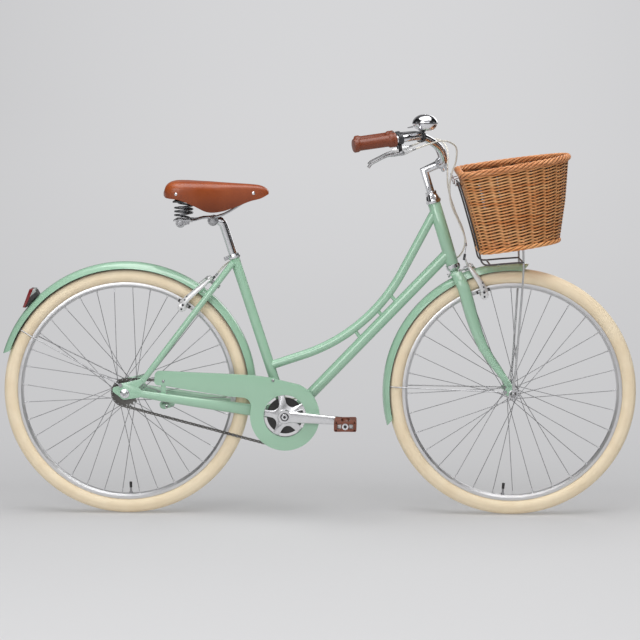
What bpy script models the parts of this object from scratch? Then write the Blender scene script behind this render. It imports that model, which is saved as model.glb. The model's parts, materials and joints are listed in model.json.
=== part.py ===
"""Step-through city bicycle with a wicker basket on its steering.

Metres, +Z up, +X forwards, the chain side faces -Y.
The origin is on the ground, midway between the two axles.
"""
import bpy
import bmesh
from math import acos, asin, atan2, cos, degrees, hypot, pi, radians, sin, sqrt, tan
from mathutils import Matrix, Vector

# Driving dimensions
GAP = 0.0003

WHEELBASE = 1.112
TYRE_R = 0.357
TYRE_W = 0.047
RIM_R = TYRE_R - 0.0405
RIM_W = 0.027
RIM_BED_R = RIM_R - 0.0155
RIM_WELL_R = RIM_R - 0.0060
WHEEL_STEPS = 32
RIM_FLAT_R = RIM_BED_R * cos(pi / WHEEL_STEPS)
SPOKE_R = 0.001
REAR_SPOKES = 36
FRONT_SPOKES = 32
REAR_OLD = 0.120
FRONT_OLD = 0.100
DROPOUT_T = 0.005
AXLE_R = 0.005
EYE_T = 0.002

CHAIN_PITCH = 0.0127
CHAIN_LINKS = 106
CHAIN_INNER_W = 0.0033
CHAIN_OUTER_W = 0.0082
CHAIN_LINE = -0.0435
CHAIN_H = 0.0078
RING_TEETH = 46
SPROCKET_TEETH = 19
PLATE_T = 0.0022

BB_DROP = 0.065
BB_SHELL_R = 0.020
BB_SHELL_W = 0.068
BB_BORE_R = 0.0174
SPINDLE_R = 0.0085
CRANK_L = 0.175
CRANK_FALL = radians(3.6)
CRANK_Y = 0.060
CRANK_T = 0.014
CRANK_SPLAY = 0.008
PEDAL_L = 0.072
PEDAL_H = 0.028
PEDAL_W = 0.094

SEAT_ANGLE = radians(72.0)
SEAT_TUBE_R = 0.0143
SEAT_TUBE_TOP_Z = 0.754
POST_R = 0.0127
HEAD_ANGLE = radians(73.0)
HEAD_TOP = Vector((WHEELBASE / 2 - 0.2272, 0.0, 0.9014))
HEAD_L = 0.184
HEAD_R = 0.0185
STEERER_R = 0.0127
QUILL_R = 0.0111
DOWN_R = 0.0160
TOP_R = 0.0127
TOP_BEND_R = 0.500
STAY_R = 0.0090
BRIDGE_R = 0.0060

FENDER_T = 0.0014
FENDER_HALF_W = 0.028
REAR_FENDER_R = TYRE_R + 0.0190
FRONT_FENDER_R = TYRE_R + 0.0165

GUARD_Y = -0.0565
GUARD_T = 0.0015
GUARD_DEPTH = 0.0065
GUARD_DISC_R = 0.100
GUARD_HOLE_R = 0.061
GUARD_BOLT_X = -0.446
GUARD_STUD_REACH = 0.1085

BAR_R = 0.0111
GRIP_R = 0.0160
GRIP_L = 0.118

SPRING_R = 0.0205
SPRING_WIRE_R = 0.0022
SPRING_TURNS = 4.5

# Places that follow from them
REAR = Vector((-WHEELBASE / 2, 0.0, TYRE_R))
FRONT = Vector((WHEELBASE / 2, 0.0, TYRE_R))


def pitch_radius(teeth):
    return CHAIN_PITCH / (2 * sin(pi / teeth))


RING_R = pitch_radius(RING_TEETH)
SPROCKET_R = pitch_radius(SPROCKET_TEETH)


def chain_wrap(span):
    """Lean of the straight runs against the line of centres, and the loop's length in pitches."""
    lean = asin((RING_R - SPROCKET_R) / span)
    length = 2 * span * cos(lean) / CHAIN_PITCH
    length += RING_TEETH * (pi + 2 * lean) / (2 * pi) + SPROCKET_TEETH * (pi - 2 * lean) / (2 * pi)
    return lean, length


def chainstay_span():
    """Distance between the crank and the rear axle that a whole number of links closes round."""
    low, high = 0.40, 0.50
    for _ in range(60):
        span = (low + high) / 2
        if chain_wrap(span)[1] < CHAIN_LINKS:
            low = span
        else:
            high = span
    return low


SPAN = chainstay_span()
BB = Vector((REAR.x + sqrt(SPAN ** 2 - BB_DROP ** 2), 0.0, REAR.z - BB_DROP))
SEAT_UP = Vector((-cos(SEAT_ANGLE), 0.0, sin(SEAT_ANGLE)))
SEAT_TOP = BB + SEAT_UP * ((SEAT_TUBE_TOP_Z - BB.z) / SEAT_UP.z)
HEAD_UP = Vector((-cos(HEAD_ANGLE), 0.0, sin(HEAD_ANGLE)))
HEAD_FORE = Vector((sin(HEAD_ANGLE), 0.0, cos(HEAD_ANGLE)))
HEAD_BOTTOM = HEAD_TOP - HEAD_UP * HEAD_L
HEAD_LEAN = HEAD_ANGLE - pi / 2
SEAT_LEAN = SEAT_ANGLE - pi / 2

# Colours, roughness and metal
LOOKS = {
    "mint": ((0.29, 0.47, 0.34), 0.30, 0.0),
    "chrome": ((0.78, 0.78, 0.79), 0.10, 1.0),
    "alloy": ((0.62, 0.62, 0.62), 0.32, 1.0),
    "steel": ((0.40, 0.40, 0.41), 0.35, 1.0),
    "dark": ((0.03, 0.03, 0.032), 0.45, 0.0),
    "chain": ((0.20, 0.19, 0.17), 0.40, 1.0),
    "cream": ((0.72, 0.62, 0.46), 0.75, 0.0),
    "leather": ((0.30, 0.09, 0.03), 0.42, 0.0),
    "grip": ((0.27, 0.08, 0.035), 0.50, 0.0),
    "wicker": ((0.48, 0.25, 0.10), 0.65, 0.0),
    "lens": ((0.35, 0.01, 0.01), 0.20, 0.0),
    "cable": ((0.62, 0.56, 0.45), 0.45, 0.0),
    "tread": ((0.25, 0.10, 0.05), 0.70, 0.0),
}


# Building blocks
for old in list(bpy.context.scene.objects):
    bpy.data.objects.remove(old, do_unlink=True)


def material(name, look):
    colour, roughness, metallic = LOOKS[look]
    made = bpy.data.materials.new(name)
    made.use_nodes = True
    shader = made.node_tree.nodes["Principled BSDF"]
    shader.inputs["Base Color"].default_value = (*colour, 1.0)
    shader.inputs["Roughness"].default_value = roughness
    shader.inputs["Metallic"].default_value = metallic
    made.diffuse_color = (*colour, 1.0)
    return made


def world_place(obj):
    """Where an object's origin lies: the objects here are only shifted against their parents."""
    place = Vector(obj.location)
    while obj.parent:
        obj = obj.parent
        place += obj.location
    return place


def pivot(name, place, parent=None):
    """An empty on a joint's axis."""
    empty = bpy.data.objects.new(name, None)
    empty.empty_display_size = 0.05
    bpy.context.collection.objects.link(empty)
    if parent:
        empty.parent = parent
        empty.location = Vector(place) - world_place(parent)
    else:
        empty.location = place
    return empty


def to_mesh(name, bm, crease):
    bmesh.ops.recalc_face_normals(bm, faces=bm.faces)
    mesh = bpy.data.meshes.new(name)
    bm.to_mesh(mesh)
    bm.free()
    mesh.shade_smooth()
    mesh.set_sharp_from_angle(angle=radians(crease))
    return mesh


def helpers(name, base, shapes, origin):
    """Hidden wire objects in a collection of their own, for a Boolean to read."""
    group = bpy.data.collections.new(name)
    bpy.context.scene.collection.children.link(group)
    for number, shape in enumerate(shapes):
        bmesh.ops.translate(shape, vec=-origin, verts=shape.verts)
        helper = bpy.data.objects.new(f"{name}_{number}", to_mesh(name, shape, 35.0))
        helper.hide_render = True
        helper.display_type = "WIRE"
        helper.parent = base
        group.objects.link(helper)
    return group


def piece(name, bm, look, origin=None, parent=None, lean=None, crease=35.0, joined=(), cut=()):
    """One named part: its mesh, its material, its place, and what is welded on or cut away.

    A part with a lean is drawn upright about its own origin and then turned about Y.
    The others are drawn in place.
    """
    origin = Vector(origin) if origin is not None else Vector((0.0, 0.0, 0.0))
    if parent is not None and lean is None and origin.length == 0.0:
        origin = world_place(parent)
    shift = Vector((0.0, 0.0, 0.0)) if lean is not None else origin
    bmesh.ops.translate(bm, vec=-shift, verts=bm.verts)
    obj = bpy.data.objects.new(name, to_mesh(name, bm, crease))
    obj.data.materials.append(material(name, look))
    bpy.context.collection.objects.link(obj)
    obj.parent = parent
    obj.location = origin - (world_place(parent) if parent else Vector((0.0, 0.0, 0.0)))
    if lean is not None:
        obj.rotation_euler = (0.0, lean, 0.0)
    for kind, shapes in (("UNION", joined), ("DIFFERENCE", cut)):
        if shapes:
            boolean = obj.modifiers.new(kind.title(), "BOOLEAN")
            boolean.operation = kind
            boolean.operand_type = "COLLECTION"
            boolean.collection = helpers(f"{name}_{kind.lower()}", obj, shapes, shift)
    return obj


def at(x, z, y=0.0):
    return Vector((x, y, z))


def fore(x, z, y=0.0):
    """A place on the front end, its x measured from the front axle."""
    return at(FRONT.x + x, z, y)


def skin(bm, loops, closed=False):
    """Bridge closed loops of points in order, and fill the first and the last."""
    rings = []
    for loop in loops:
        verts = [bm.verts.new(point) for point in loop]
        rings.append([bm.edges.new((verts[i - 1], verts[i])) for i in range(len(verts))])
    pairs = list(zip(rings, rings[1:]))
    if closed:
        pairs.append((rings[-1], rings[0]))
    for first, second in pairs:
        bmesh.ops.bridge_loops(bm, edges=first + second)
    if not closed:
        bmesh.ops.edgeloop_fill(bm, edges=rings[0])
        bmesh.ops.edgeloop_fill(bm, edges=rings[-1])
    return bm


def tube(path, size, sides=12, across=(0.0, 1.0, 0.0), closed=False):
    """A round or oval tube along a path. Size is one radius, or (across, other) for each point."""
    count = len(path)
    sizes = [(size, size)] * count if isinstance(size, float) else size
    side = Vector(across)
    loops = []
    for i, point in enumerate(path):
        before = path[(i - 1) % count] if closed else path[max(i - 1, 0)]
        after = path[(i + 1) % count] if closed else path[min(i + 1, count - 1)]
        along = ((point - before).normalized() + (after - point).normalized()).normalized()
        side = (side - along * side.dot(along)).normalized()
        other = along.cross(side)
        turns = [2 * pi * (k + 0.5) / sides for k in range(sides)]
        loops.append([point + side * sizes[i][0] * cos(t) + other * sizes[i][1] * sin(t) for t in turns])
    return skin(bmesh.new(), loops, closed)


def bar(start, end, radius, sides=12, across=(0.0, 1.0, 0.0)):
    return tube([Vector(start), Vector(end)], radius, sides, across)


def fillet(before, corner, after, radius, count):
    """Points of an arc that rounds the corner between two straight runs."""
    back = (before - corner).normalized()
    on = (after - corner).normalized()
    half = acos(max(-1.0, min(1.0, back.dot(on)))) / 2
    centre = corner + (back + on).normalized() * (radius / sin(half))
    first = corner + back * (radius / tan(half)) - centre
    last = corner + on * (radius / tan(half)) - centre
    return [centre + first.slerp(last, k / count).normalized() * radius for k in range(count + 1)]


def through(points, count):
    """Evenly numbered points of a smooth curve through the given ones."""
    ends = [points[0] * 2 - points[1]] + list(points) + [points[-1] * 2 - points[-2]]
    fine = []
    for a, b, c, d in zip(ends, ends[1:], ends[2:], ends[3:]):
        for k in range(16):
            t = k / 16
            fine.append(0.5 * (2 * b + (c - a) * t + (2 * a - 5 * b + 4 * c - d) * t * t
                               + (3 * b - a - 3 * c + d) * t ** 3))
    fine.append(Vector(points[-1]))
    run = [0.0]
    for a, b in zip(fine, fine[1:]):
        run.append(run[-1] + (b - a).length)
    out = []
    spot = 0
    for k in range(count):
        goal = run[-1] * k / (count - 1)
        while spot < len(run) - 2 and run[spot + 1] < goal:
            spot += 1
        share = (goal - run[spot]) / (run[spot + 1] - run[spot])
        out.append(fine[spot].lerp(fine[spot + 1], min(max(share, 0.0), 1.0)))
    return out


def turned(profile, centre=None, axis="Y", steps=20, ring=False, start=0.0):
    """Spin a profile of (radius, height) pairs. A ring's profile closes on itself off the axis."""
    centre = Vector(centre) if centre is not None else Vector((0.0, 0.0, 0.0))
    bm = bmesh.new()
    if axis == "Y":
        out = Vector((cos(start), 0.0, sin(start)))
        verts = [bm.verts.new(centre + out * r + Vector((0.0, h, 0.0))) for r, h in profile]
        spin_axis = Vector((0.0, -1.0, 0.0))
    else:
        out = Vector((cos(start), sin(start), 0.0))
        verts = [bm.verts.new(centre + out * r + Vector((0.0, 0.0, h))) for r, h in profile]
        spin_axis = Vector((0.0, 0.0, 1.0))
    edges = [bm.edges.new(pair) for pair in zip(verts, verts[1:])]
    if ring:
        edges.append(bm.edges.new((verts[-1], verts[0])))
    bmesh.ops.spin(bm, geom=verts + edges, cent=centre, axis=spin_axis, angle=2 * pi, steps=steps,
                   use_merge=True)
    bmesh.ops.remove_doubles(bm, verts=bm.verts, dist=1e-6)
    return bm


def swept(profile, centre, first, last, steps):
    """Carry a closed profile of (radius, y) pairs about an axis along Y between two angles."""
    loops = []
    for k in range(steps + 1):
        turn = first + (last - first) * k / steps
        out = Vector((cos(turn), 0.0, sin(turn)))
        loops.append([centre + out * r + Vector((0.0, y, 0.0)) for r, y in profile])
    return skin(bmesh.new(), loops)


def plate(outline, y0, y1):
    """A flat plate: an outline of (x, z) pairs extruded from y0 to y1."""
    bm = bmesh.new()
    face = bm.faces.new([bm.verts.new((x, y0, z)) for x, z in outline])
    grown = bmesh.ops.extrude_face_region(bm, geom=[face])
    verts = [item for item in grown["geom"] if isinstance(item, bmesh.types.BMVert)]
    bmesh.ops.translate(bm, vec=(0.0, y1 - y0, 0.0), verts=verts)
    return bm


def block(centre, size, lean=0.0):
    bm = bmesh.new()
    place = Matrix.Translation(centre) @ Matrix.Rotation(lean, 4, "Y") @ Matrix.Diagonal((*size, 1.0))
    bmesh.ops.create_cube(bm, size=1.0, matrix=place)
    return bm


def arc(cx, cz, radius, first, last, count):
    """Points on an arc in the side view, angles in radians."""
    angles = [first + (last - first) * k / count for k in range(count + 1)]
    return [(cx + radius * cos(a), cz + radius * sin(a)) for a in angles]


def capsule(a, b, ra, rb, count=6):
    """Outline of two round ends joined by straight flanks, in the side view."""
    dx, dz = b.x - a.x, b.z - a.z
    heading = atan2(dz, dx)
    tilt = acos((ra - rb) / hypot(dx, dz))
    far = arc(b.x, b.z, rb, heading - tilt, heading + tilt, count)
    near = arc(a.x, a.z, ra, heading + tilt, heading + 2 * pi - tilt, count)
    return far + near


def mirrored(bm):
    """The same shape on the other side of the bicycle's middle plane."""
    bmesh.ops.transform(bm, matrix=Matrix.Diagonal((1.0, -1.0, 1.0, 1.0)), verts=bm.verts)
    bmesh.ops.reverse_faces(bm, faces=bm.faces)
    return bm


def both(make):
    """A shape for the right side and its mirror image for the left."""
    return [make(), mirrored(make())]


# Pivots
steering = pivot("steering_axis", HEAD_TOP)
front_wheel = pivot("front_wheel_axis", FRONT, steering)
rear_wheel = pivot("rear_wheel_axis", REAR)
crankset = pivot("crank_axis", BB)


# Frame
def chainstay_path():
    """Right chainstay: close behind the bracket for the chainring, then out to the dropout."""
    return through([
        at(BB.x, BB.z, -0.021),
        at(BB.x - 0.045, BB.z + 0.007, -0.0255),
        at(BB.x - 0.095, BB.z + 0.014, -0.0300),
        at(BB.x - 0.170, BB.z + 0.026, -0.0415),
        at(BB.x - 0.270, BB.z + 0.041, -0.0535),
        at(REAR.x + 0.046, REAR.z - 0.001, -REAR_OLD / 2 - DROPOUT_T / 2),
    ], 8)


def chainstay():
    heights = [0.0165, 0.0168, 0.0168, 0.0160, 0.0145, 0.0130, 0.0120, 0.0100]
    widths = [0.0085, 0.0080, 0.0080, 0.0085, 0.0085, 0.0085, 0.0080, 0.0045]
    return tube(chainstay_path(), list(zip(widths, heights)), 8)


STAY_TOP = at(SEAT_TOP.x - 0.0005, SEAT_TOP.z - 0.0240)
STAY_END = at(REAR.x + 0.052, REAR.z + 0.037, -REAR_OLD / 2 - DROPOUT_T / 2)


def stay_point(share, y):
    spot = STAY_TOP.lerp(at(STAY_END.x, STAY_END.z), share)
    return at(spot.x, spot.z, y)


STAY_DOWN = (at(STAY_END.x, STAY_END.z) - STAY_TOP).normalized()
REAR_BRAKE_DIR = Vector((STAY_DOWN.z, 0.0, -STAY_DOWN.x))
BRAKE_BRIDGE = stay_point(0.1914, 0.0)
STAY_BRIDGE = REAR + at(cos(radians(-8)), sin(radians(-8))) * (REAR_FENDER_R + BRIDGE_R + GAP)


def seat_stay():
    path = through([
        stay_point(0.0, -0.0170),
        stay_point(0.10, -0.0300),
        stay_point(0.24, -0.0435),
        stay_point(0.60, -0.0545),
        stay_point(1.0, STAY_END.y),
    ], 8)
    widths = [0.0085, STAY_R, STAY_R, STAY_R, STAY_R, STAY_R, 0.0080, 0.0045]
    heights = [STAY_R] * 7 + [0.0080]
    return tube(path, list(zip(widths, heights)), 8)


def dropout():
    """Leaf-shaped end plate between the two stays, drawn out rearwards to a tip."""
    x, z = REAR.x, REAR.z
    outline = arc(x + 0.052, z + 0.037, 0.0095, radians(-25), radians(150), 3)
    outline += arc(x - 0.006, z + 0.018, 0.0125, radians(80), radians(165), 2)
    outline += arc(x - 0.0265, z + 0.0105, 0.0090, radians(100), radians(235), 3)
    outline += arc(x, z - 0.002, 0.0160, radians(215), radians(285), 2)
    outline += arc(x + 0.046, z - 0.001, 0.0100, radians(-100), radians(60), 3)
    outline += [(x + 0.0420, z + 0.0155), (x + 0.0400, z + 0.0185), (x + 0.0440, z + 0.0230)]
    return plate(outline, -REAR_OLD / 2 - DROPOUT_T, -REAR_OLD / 2)


def axle_slot(centre, reach, half_old, lean):
    """Cutter for a slot that lets an axle in, open along one direction."""
    end = centre + Vector((cos(lean), 0.0, sin(lean))) * reach
    radius = AXLE_R + 0.0005
    return [plate(capsule(centre, end, radius, radius - 1e-6, 6), side * half_old - 0.009,
                  side * half_old + 0.009) for side in (-1, 1)]


def strut(x0, z0, x1, z1):
    return bar(at(x0, z0), at(x1, z1), 0.0055, 6)


def build_frame():
    top_start = HEAD_TOP - HEAD_UP * 0.019
    corner = fore(-0.4116, 0.5264)
    top_end = at(BB.x, BB.z) + SEAT_UP * 0.146
    top_path = [top_start] + fillet(top_start, corner, top_end, TOP_BEND_R, 7) + [top_end]
    down_start = HEAD_BOTTOM + HEAD_UP * 0.036
    down_run = at(BB.x + 0.010, BB.z - 0.008) - down_start
    down_end = down_start + down_run * 0.985
    bridge = BRAKE_BRIDGE
    guard_stud = BB + SEAT_UP * GUARD_STUD_REACH
    base = bar(HEAD_BOTTOM, HEAD_TOP, HEAD_R, 16)
    tubes = [
        bar(down_start, down_end, DOWN_R, 12),
        tube(top_path, TOP_R, 10),
        bar(BB, SEAT_TOP, SEAT_TUBE_R, 14),
        turned([(0.0, -BB_SHELL_W / 2), (BB_SHELL_R, -BB_SHELL_W / 2), (BB_SHELL_R, BB_SHELL_W / 2),
                (0.0, BB_SHELL_W / 2)], BB, steps=16),
        strut(0.205, 0.637, 0.222, 0.618),
        strut(0.166, 0.595, 0.182, 0.577),
        strut(0.101, 0.538, 0.119, 0.512),
        bar(bridge + Vector((0.0, -0.043, 0.0)), bridge + Vector((0.0, 0.043, 0.0)), 0.0070, 8, (1, 0, 0)),
        bar(STAY_BRIDGE + at(0, 0, -0.028), STAY_BRIDGE + at(0, 0, 0.028), BRIDGE_R, 8, (1, 0, 0)),
        bar(guard_stud, at(guard_stud.x, guard_stud.z, GUARD_Y + GUARD_T + GAP), 0.0022, 8, (1, 0, 0)),
        block(at(GUARD_BOLT_X, 0.372, GUARD_Y + GUARD_T + GAP + 0.0015), (0.014, 0.003, 0.052)),
        block(at(-0.445, 0.327, 0.0565), (0.040, 0.005, 0.034), radians(-8)),
    ]
    tubes += both(chainstay) + both(seat_stay) + both(dropout)
    quarter = HEAD_UP * 0.01
    cuts = [
        bar(HEAD_BOTTOM - quarter, HEAD_TOP + quarter, HEAD_R - 0.0028, 12),
        bar(SEAT_TOP - SEAT_UP * 0.300, SEAT_TOP + SEAT_UP * 0.02, POST_R + 0.0008, 14),
        bar(BB + at(0, 0, -0.05), BB + at(0, 0, 0.05), BB_BORE_R, 16, (1, 0, 0)),
        bar(bridge - REAR_BRAKE_DIR * 0.012, bridge + REAR_BRAKE_DIR * 0.012, 0.0032, 8),
        bar(at(-0.440, 0.317, 0.04), at(-0.440, 0.317, 0.07), 0.0040, 8, (1, 0, 0)),
    ]
    cuts += axle_slot(REAR, 0.030, REAR_OLD / 2 + DROPOUT_T / 2, radians(-58))
    piece("frame", base, "mint", joined=tubes, cut=cuts)


build_frame()


# Seat collar, headset, bottom bracket
def build_collar():
    sides = 14
    inner = (SEAT_TUBE_R + GAP) / cos(pi / sides)
    ring = turned([(inner, -0.0125), (0.0178, -0.0125), (0.0190, -0.0065), (0.0178, 0.0003), (inner, 0.0003)],
                  axis="Z", steps=sides, ring=True)
    lug = block(at(-0.0225, -0.0062), (0.013, 0.016, 0.0105))
    slit = block(at(-0.0240, -0.0062), (0.020, 0.0018, 0.030))
    bolt = bar(at(-0.0240, -0.0062, -0.0125), at(-0.0240, -0.0062, 0.0125), 0.0040, 8, (1, 0, 0))
    piece("seat_clamp", ring, "chrome", SEAT_TOP, lean=SEAT_LEAN, joined=[lug, bolt], cut=[slit])


def build_headset():
    inner = STEERER_R + 0.0008
    upper = [(inner, GAP), (0.0205, GAP), (0.0222, 0.006), (0.0200, 0.0115), (0.0174, 0.0215),
             (0.0160, 0.0240), (0.0160, 0.0340), (inner, 0.0340)]
    lower = [(inner, -0.0165), (0.0175, -0.0165), (0.0205, -0.0100), (0.0205, -GAP), (inner, -GAP)]
    piece("headset_upper", turned(upper, axis="Z", steps=14, ring=True), "chrome", HEAD_TOP,
          lean=HEAD_LEAN)
    piece("headset_lower", turned(lower, axis="Z", steps=14, ring=True), "chrome", HEAD_BOTTOM,
          lean=HEAD_LEAN)


def build_bottom_bracket():
    half = BB_SHELL_W / 2 + GAP
    inner = SPINDLE_R + 0.0007
    outer = BB_BORE_R - 0.0008
    profile = [(inner, -half - 0.003), (0.0185, -half - 0.003), (0.0185, -half), (outer, -half),
               (outer, half), (0.0185, half), (0.0185, half + 0.003), (inner, half + 0.003)]
    piece("bottom_bracket", turned(profile, BB, steps=14, ring=True), "steel", BB)


build_collar()
build_headset()
build_bottom_bracket()


# Wheels
def rim_profile():
    half = RIM_W / 2
    wall = half - 0.0023
    return [(RIM_BED_R, -0.0090), (RIM_BED_R, 0.0090), (RIM_R, half), (RIM_R, wall), (RIM_WELL_R, wall),
            (RIM_WELL_R, -wall), (RIM_R, -wall), (RIM_R, -half)]


def tyre_profile():
    bead = RIM_W / 2 - 0.0023 - 0.0004
    side = TYRE_W / 2
    half = [(RIM_WELL_R + 0.0005, bead), (RIM_R + 0.0008, bead), (RIM_R + 0.0110, side),
            (TYRE_R - side * 0.40, side * 0.88), (TYRE_R, side * 0.36)]
    return half + [(r, -y) for r, y in reversed(half)]


def spokes(hub_r, flanges, count, crosses, phase, centre):
    """All the spokes of a wheel in one bmesh, crossed, alternately inside and outside the flange."""
    bm = bmesh.new()
    side_count = count // 2
    shift = crosses * 2 * pi / side_count
    for flange, (y, lead) in enumerate(flanges):
        towards = -1 if y > 0 else 1
        for k in range(side_count):
            hole = phase + 2 * pi * k / side_count + lead
            sign = 1 if k % 2 else -1
            rim = hole + sign * shift
            y0 = y + sign * 0.0019
            y1 = -towards * 0.0030 + sign * 0.0010
            start = centre + Vector((hub_r * cos(hole), y0, hub_r * sin(hole)))
            reach = RIM_FLAT_R - 0.0006
            end = centre + Vector((reach * cos(rim), y1, reach * sin(rim)))
            along = (end - start).normalized()
            side = along.cross(Vector((0.0, 1.0, 0.0))).normalized()
            other = along.cross(side)
            loops = []
            for spot in (start, end):
                loops.append([spot + (side * cos(a) + other * sin(a)) * SPOKE_R
                              for a in (pi / 6, 5 * pi / 6, 3 * pi / 2)])
            skin(bm, loops)
    return bm


def wheel(name, centre, parent, count, hub_r, flanges, hub_profile, valve_angle):
    start = -pi / 2
    piece(f"{name}_rim", turned(rim_profile(), centre, steps=WHEEL_STEPS, ring=True, start=start),
          "alloy", parent=parent)
    piece(f"{name}_tyre", turned(tyre_profile(), centre, steps=WHEEL_STEPS, ring=True, start=start),
          "cream", parent=parent)
    wire = spokes(hub_r, flanges, count, 3, valve_angle + pi / count, centre)
    piece(f"{name}_hub", turned(hub_profile, centre, steps=10, ring=True), "alloy", parent=parent,
          joined=[wire])
    out = Vector((cos(valve_angle), 0.0, sin(valve_angle)))
    off_flat = abs((valve_angle - start) % (2 * pi / WHEEL_STEPS) - pi / WHEEL_STEPS)
    bed = RIM_FLAT_R / cos(max(off_flat - 0.011, 0.0))
    stem = tube([centre + out * (bed - 0.0005), centre + out * 0.280, centre + out * 0.2795,
                 centre + out * 0.267], [(0.0030, 0.0030)] * 2 + [(0.0040, 0.0040)] * 2, 8)
    piece(f"{name}_valve", stem, "dark", parent=parent)


HUB_BORE = AXLE_R + 0.0007
SPROCKET_IN = CHAIN_LINE + 0.0065
REAR_HUB = [(HUB_BORE, SPROCKET_IN + GAP), (0.0190, SPROCKET_IN + GAP), (0.0205, -0.0290), (0.0300, -0.0290),
            (0.0300, -0.0260), (0.0205, -0.0235), (0.0205, 0.0290), (0.0300, 0.0310), (0.0300, 0.0340),
            (0.0170, 0.0350), (0.0150, 0.0500), (HUB_BORE, 0.0500)]
FRONT_HUB = [(HUB_BORE, -0.0420), (0.0095, -0.0420), (0.0110, -0.0350), (0.0200, -0.0350), (0.0200, -0.0320),
             (0.0110, -0.0290), (0.0110, 0.0290), (0.0200, 0.0320), (0.0200, 0.0350), (0.0110, 0.0350),
             (0.0095, 0.0420), (HUB_BORE, 0.0420)]

wheel("rear", REAR, rear_wheel, REAR_SPOKES, 0.0268, [(-0.0275, 0.0), (0.0325, pi / 18)], REAR_HUB,
      radians(-88.4))
wheel("front", FRONT, front_wheel, FRONT_SPOKES, 0.0172, [(-0.0335, 0.0), (0.0335, pi / 16)], FRONT_HUB,
      radians(-94.6))


def axle(name, centre, half_old, dropout_t, parent):
    """Axle rod with cones inside the dropouts, and washers with domed nuts outside them."""
    inner = half_old - GAP
    outer = half_old + dropout_t + GAP
    right = [(0.0, outer + 0.0120), (0.0050, outer + 0.0115), (0.0085, outer + 0.0075), (0.0085, outer + 0.0015),
             (0.0105, outer), (AXLE_R, outer), (AXLE_R, inner), (0.0078, inner), (0.0078, inner - 0.0040),
             (AXLE_R, inner - 0.0040)]
    profile = [(r, -h) for r, h in right] + [(r, h) for r, h in reversed(right)]
    piece(name, turned(profile, centre, steps=6), "steel", centre, parent)


axle("rear_axle", REAR, REAR_OLD / 2, DROPOUT_T, None)
axle("front_axle", FRONT, FRONT_OLD / 2, DROPOUT_T + GAP + EYE_T, steering)


# Chain, chainring and sprocket
LEAN, _ = chain_wrap(SPAN)
LINE = atan2(REAR.z - BB.z, REAR.x - BB.x)
UPPER = LINE - pi / 2 + LEAN
LOWER = LINE + pi / 2 - LEAN
RING_ARC = 2 * pi - (LOWER - UPPER)
RING_PITCHES = RING_TEETH * RING_ARC / (2 * pi)
RUN_PITCHES = SPAN * cos(LEAN) / CHAIN_PITCH


def chain_point(step):
    """Place and heading on the pitch line, a number of pitches round from the ring's upper tangent."""
    step = step % CHAIN_LINKS
    if step < RING_PITCHES:
        turn = UPPER - 2 * pi * step / RING_TEETH
        return BB + Vector((cos(turn), 0.0, sin(turn))) * RING_R, turn
    step -= RING_PITCHES
    down = Vector((cos(LOWER), 0.0, sin(LOWER)))
    up = Vector((cos(UPPER), 0.0, sin(UPPER)))
    if step < RUN_PITCHES:
        return (BB + down * RING_R).lerp(REAR + down * SPROCKET_R, step / RUN_PITCHES), LOWER
    step -= RUN_PITCHES
    sprocket_pitches = CHAIN_LINKS - RING_PITCHES - 2 * RUN_PITCHES
    if step < sprocket_pitches:
        turn = LOWER - 2 * pi * step / SPROCKET_TEETH
        return REAR + Vector((cos(turn), 0.0, sin(turn))) * SPROCKET_R, turn
    step -= sprocket_pitches
    return (REAR + up * SPROCKET_R).lerp(BB + up * RING_R, min(step / RUN_PITCHES, 1.0)), UPPER


def build_chain():
    """Two strips of side plates, inner and outer by turns, with a roller bar at every pin."""
    bm = bmesh.new()
    reach = 0.0030 / CHAIN_PITCH
    inner = CHAIN_INNER_W / 2
    outer = CHAIN_OUTER_W / 2
    lap = (inner + outer) / 2
    rollers = {}
    for side in (-1, 1):
        loops = []
        for link in range(CHAIN_LINKS):
            pin, turn = chain_point(link)
            for step in (-reach, reach):
                spot, turn = chain_point(link + step)
                out = Vector((cos(turn), 0.0, sin(turn)))
                wide = (link + (0 if step > 0 else 1)) % 2
                y0, y1 = (inner, outer) if wide else (inner, lap + 0.0004)
                loops.append([spot + out * h + Vector((0.0, CHAIN_LINE + side * y, 0.0))
                              for h, y in ((-CHAIN_H / 2, y0), (CHAIN_H / 2, y0), (CHAIN_H / 2, y1),
                                           (-CHAIN_H / 2, y1))])
        skin(bm, loops, closed=True)
    bm.faces.ensure_lookup_table()
    for face in bm.faces:
        middle = face.calc_center_median()
        if abs(abs(middle.y - CHAIN_LINE) - inner) < 1e-5:
            for link in range(CHAIN_LINKS):
                pin = chain_point(link)[0]
                if hypot(pin.x - middle.x, pin.z - middle.z) < 0.0015:
                    rollers.setdefault(link, []).append(face)
    for link in range(CHAIN_LINKS):
        left, right = rollers[link]
        edges = list(left.edges) + list(right.edges)
        bmesh.ops.delete(bm, geom=[left, right], context="FACES_ONLY")
        bmesh.ops.bridge_loops(bm, edges=edges)
    piece("chain", bm, "chain")


def toothed(teeth, radius, first):
    """Outline of a toothed plate whose teeth stand half a pitch from the given roller angle."""
    outline = []
    for k in range(teeth):
        middle = first + 2 * pi * (k + 0.5) / teeth
        root = radius - CHAIN_H / 2 - 0.0003
        outline.append((root, middle - 0.0026 / root))
        outline.append((radius + 0.0030, middle))
        outline.append((root, middle + 0.0026 / root))
    return outline


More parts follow.
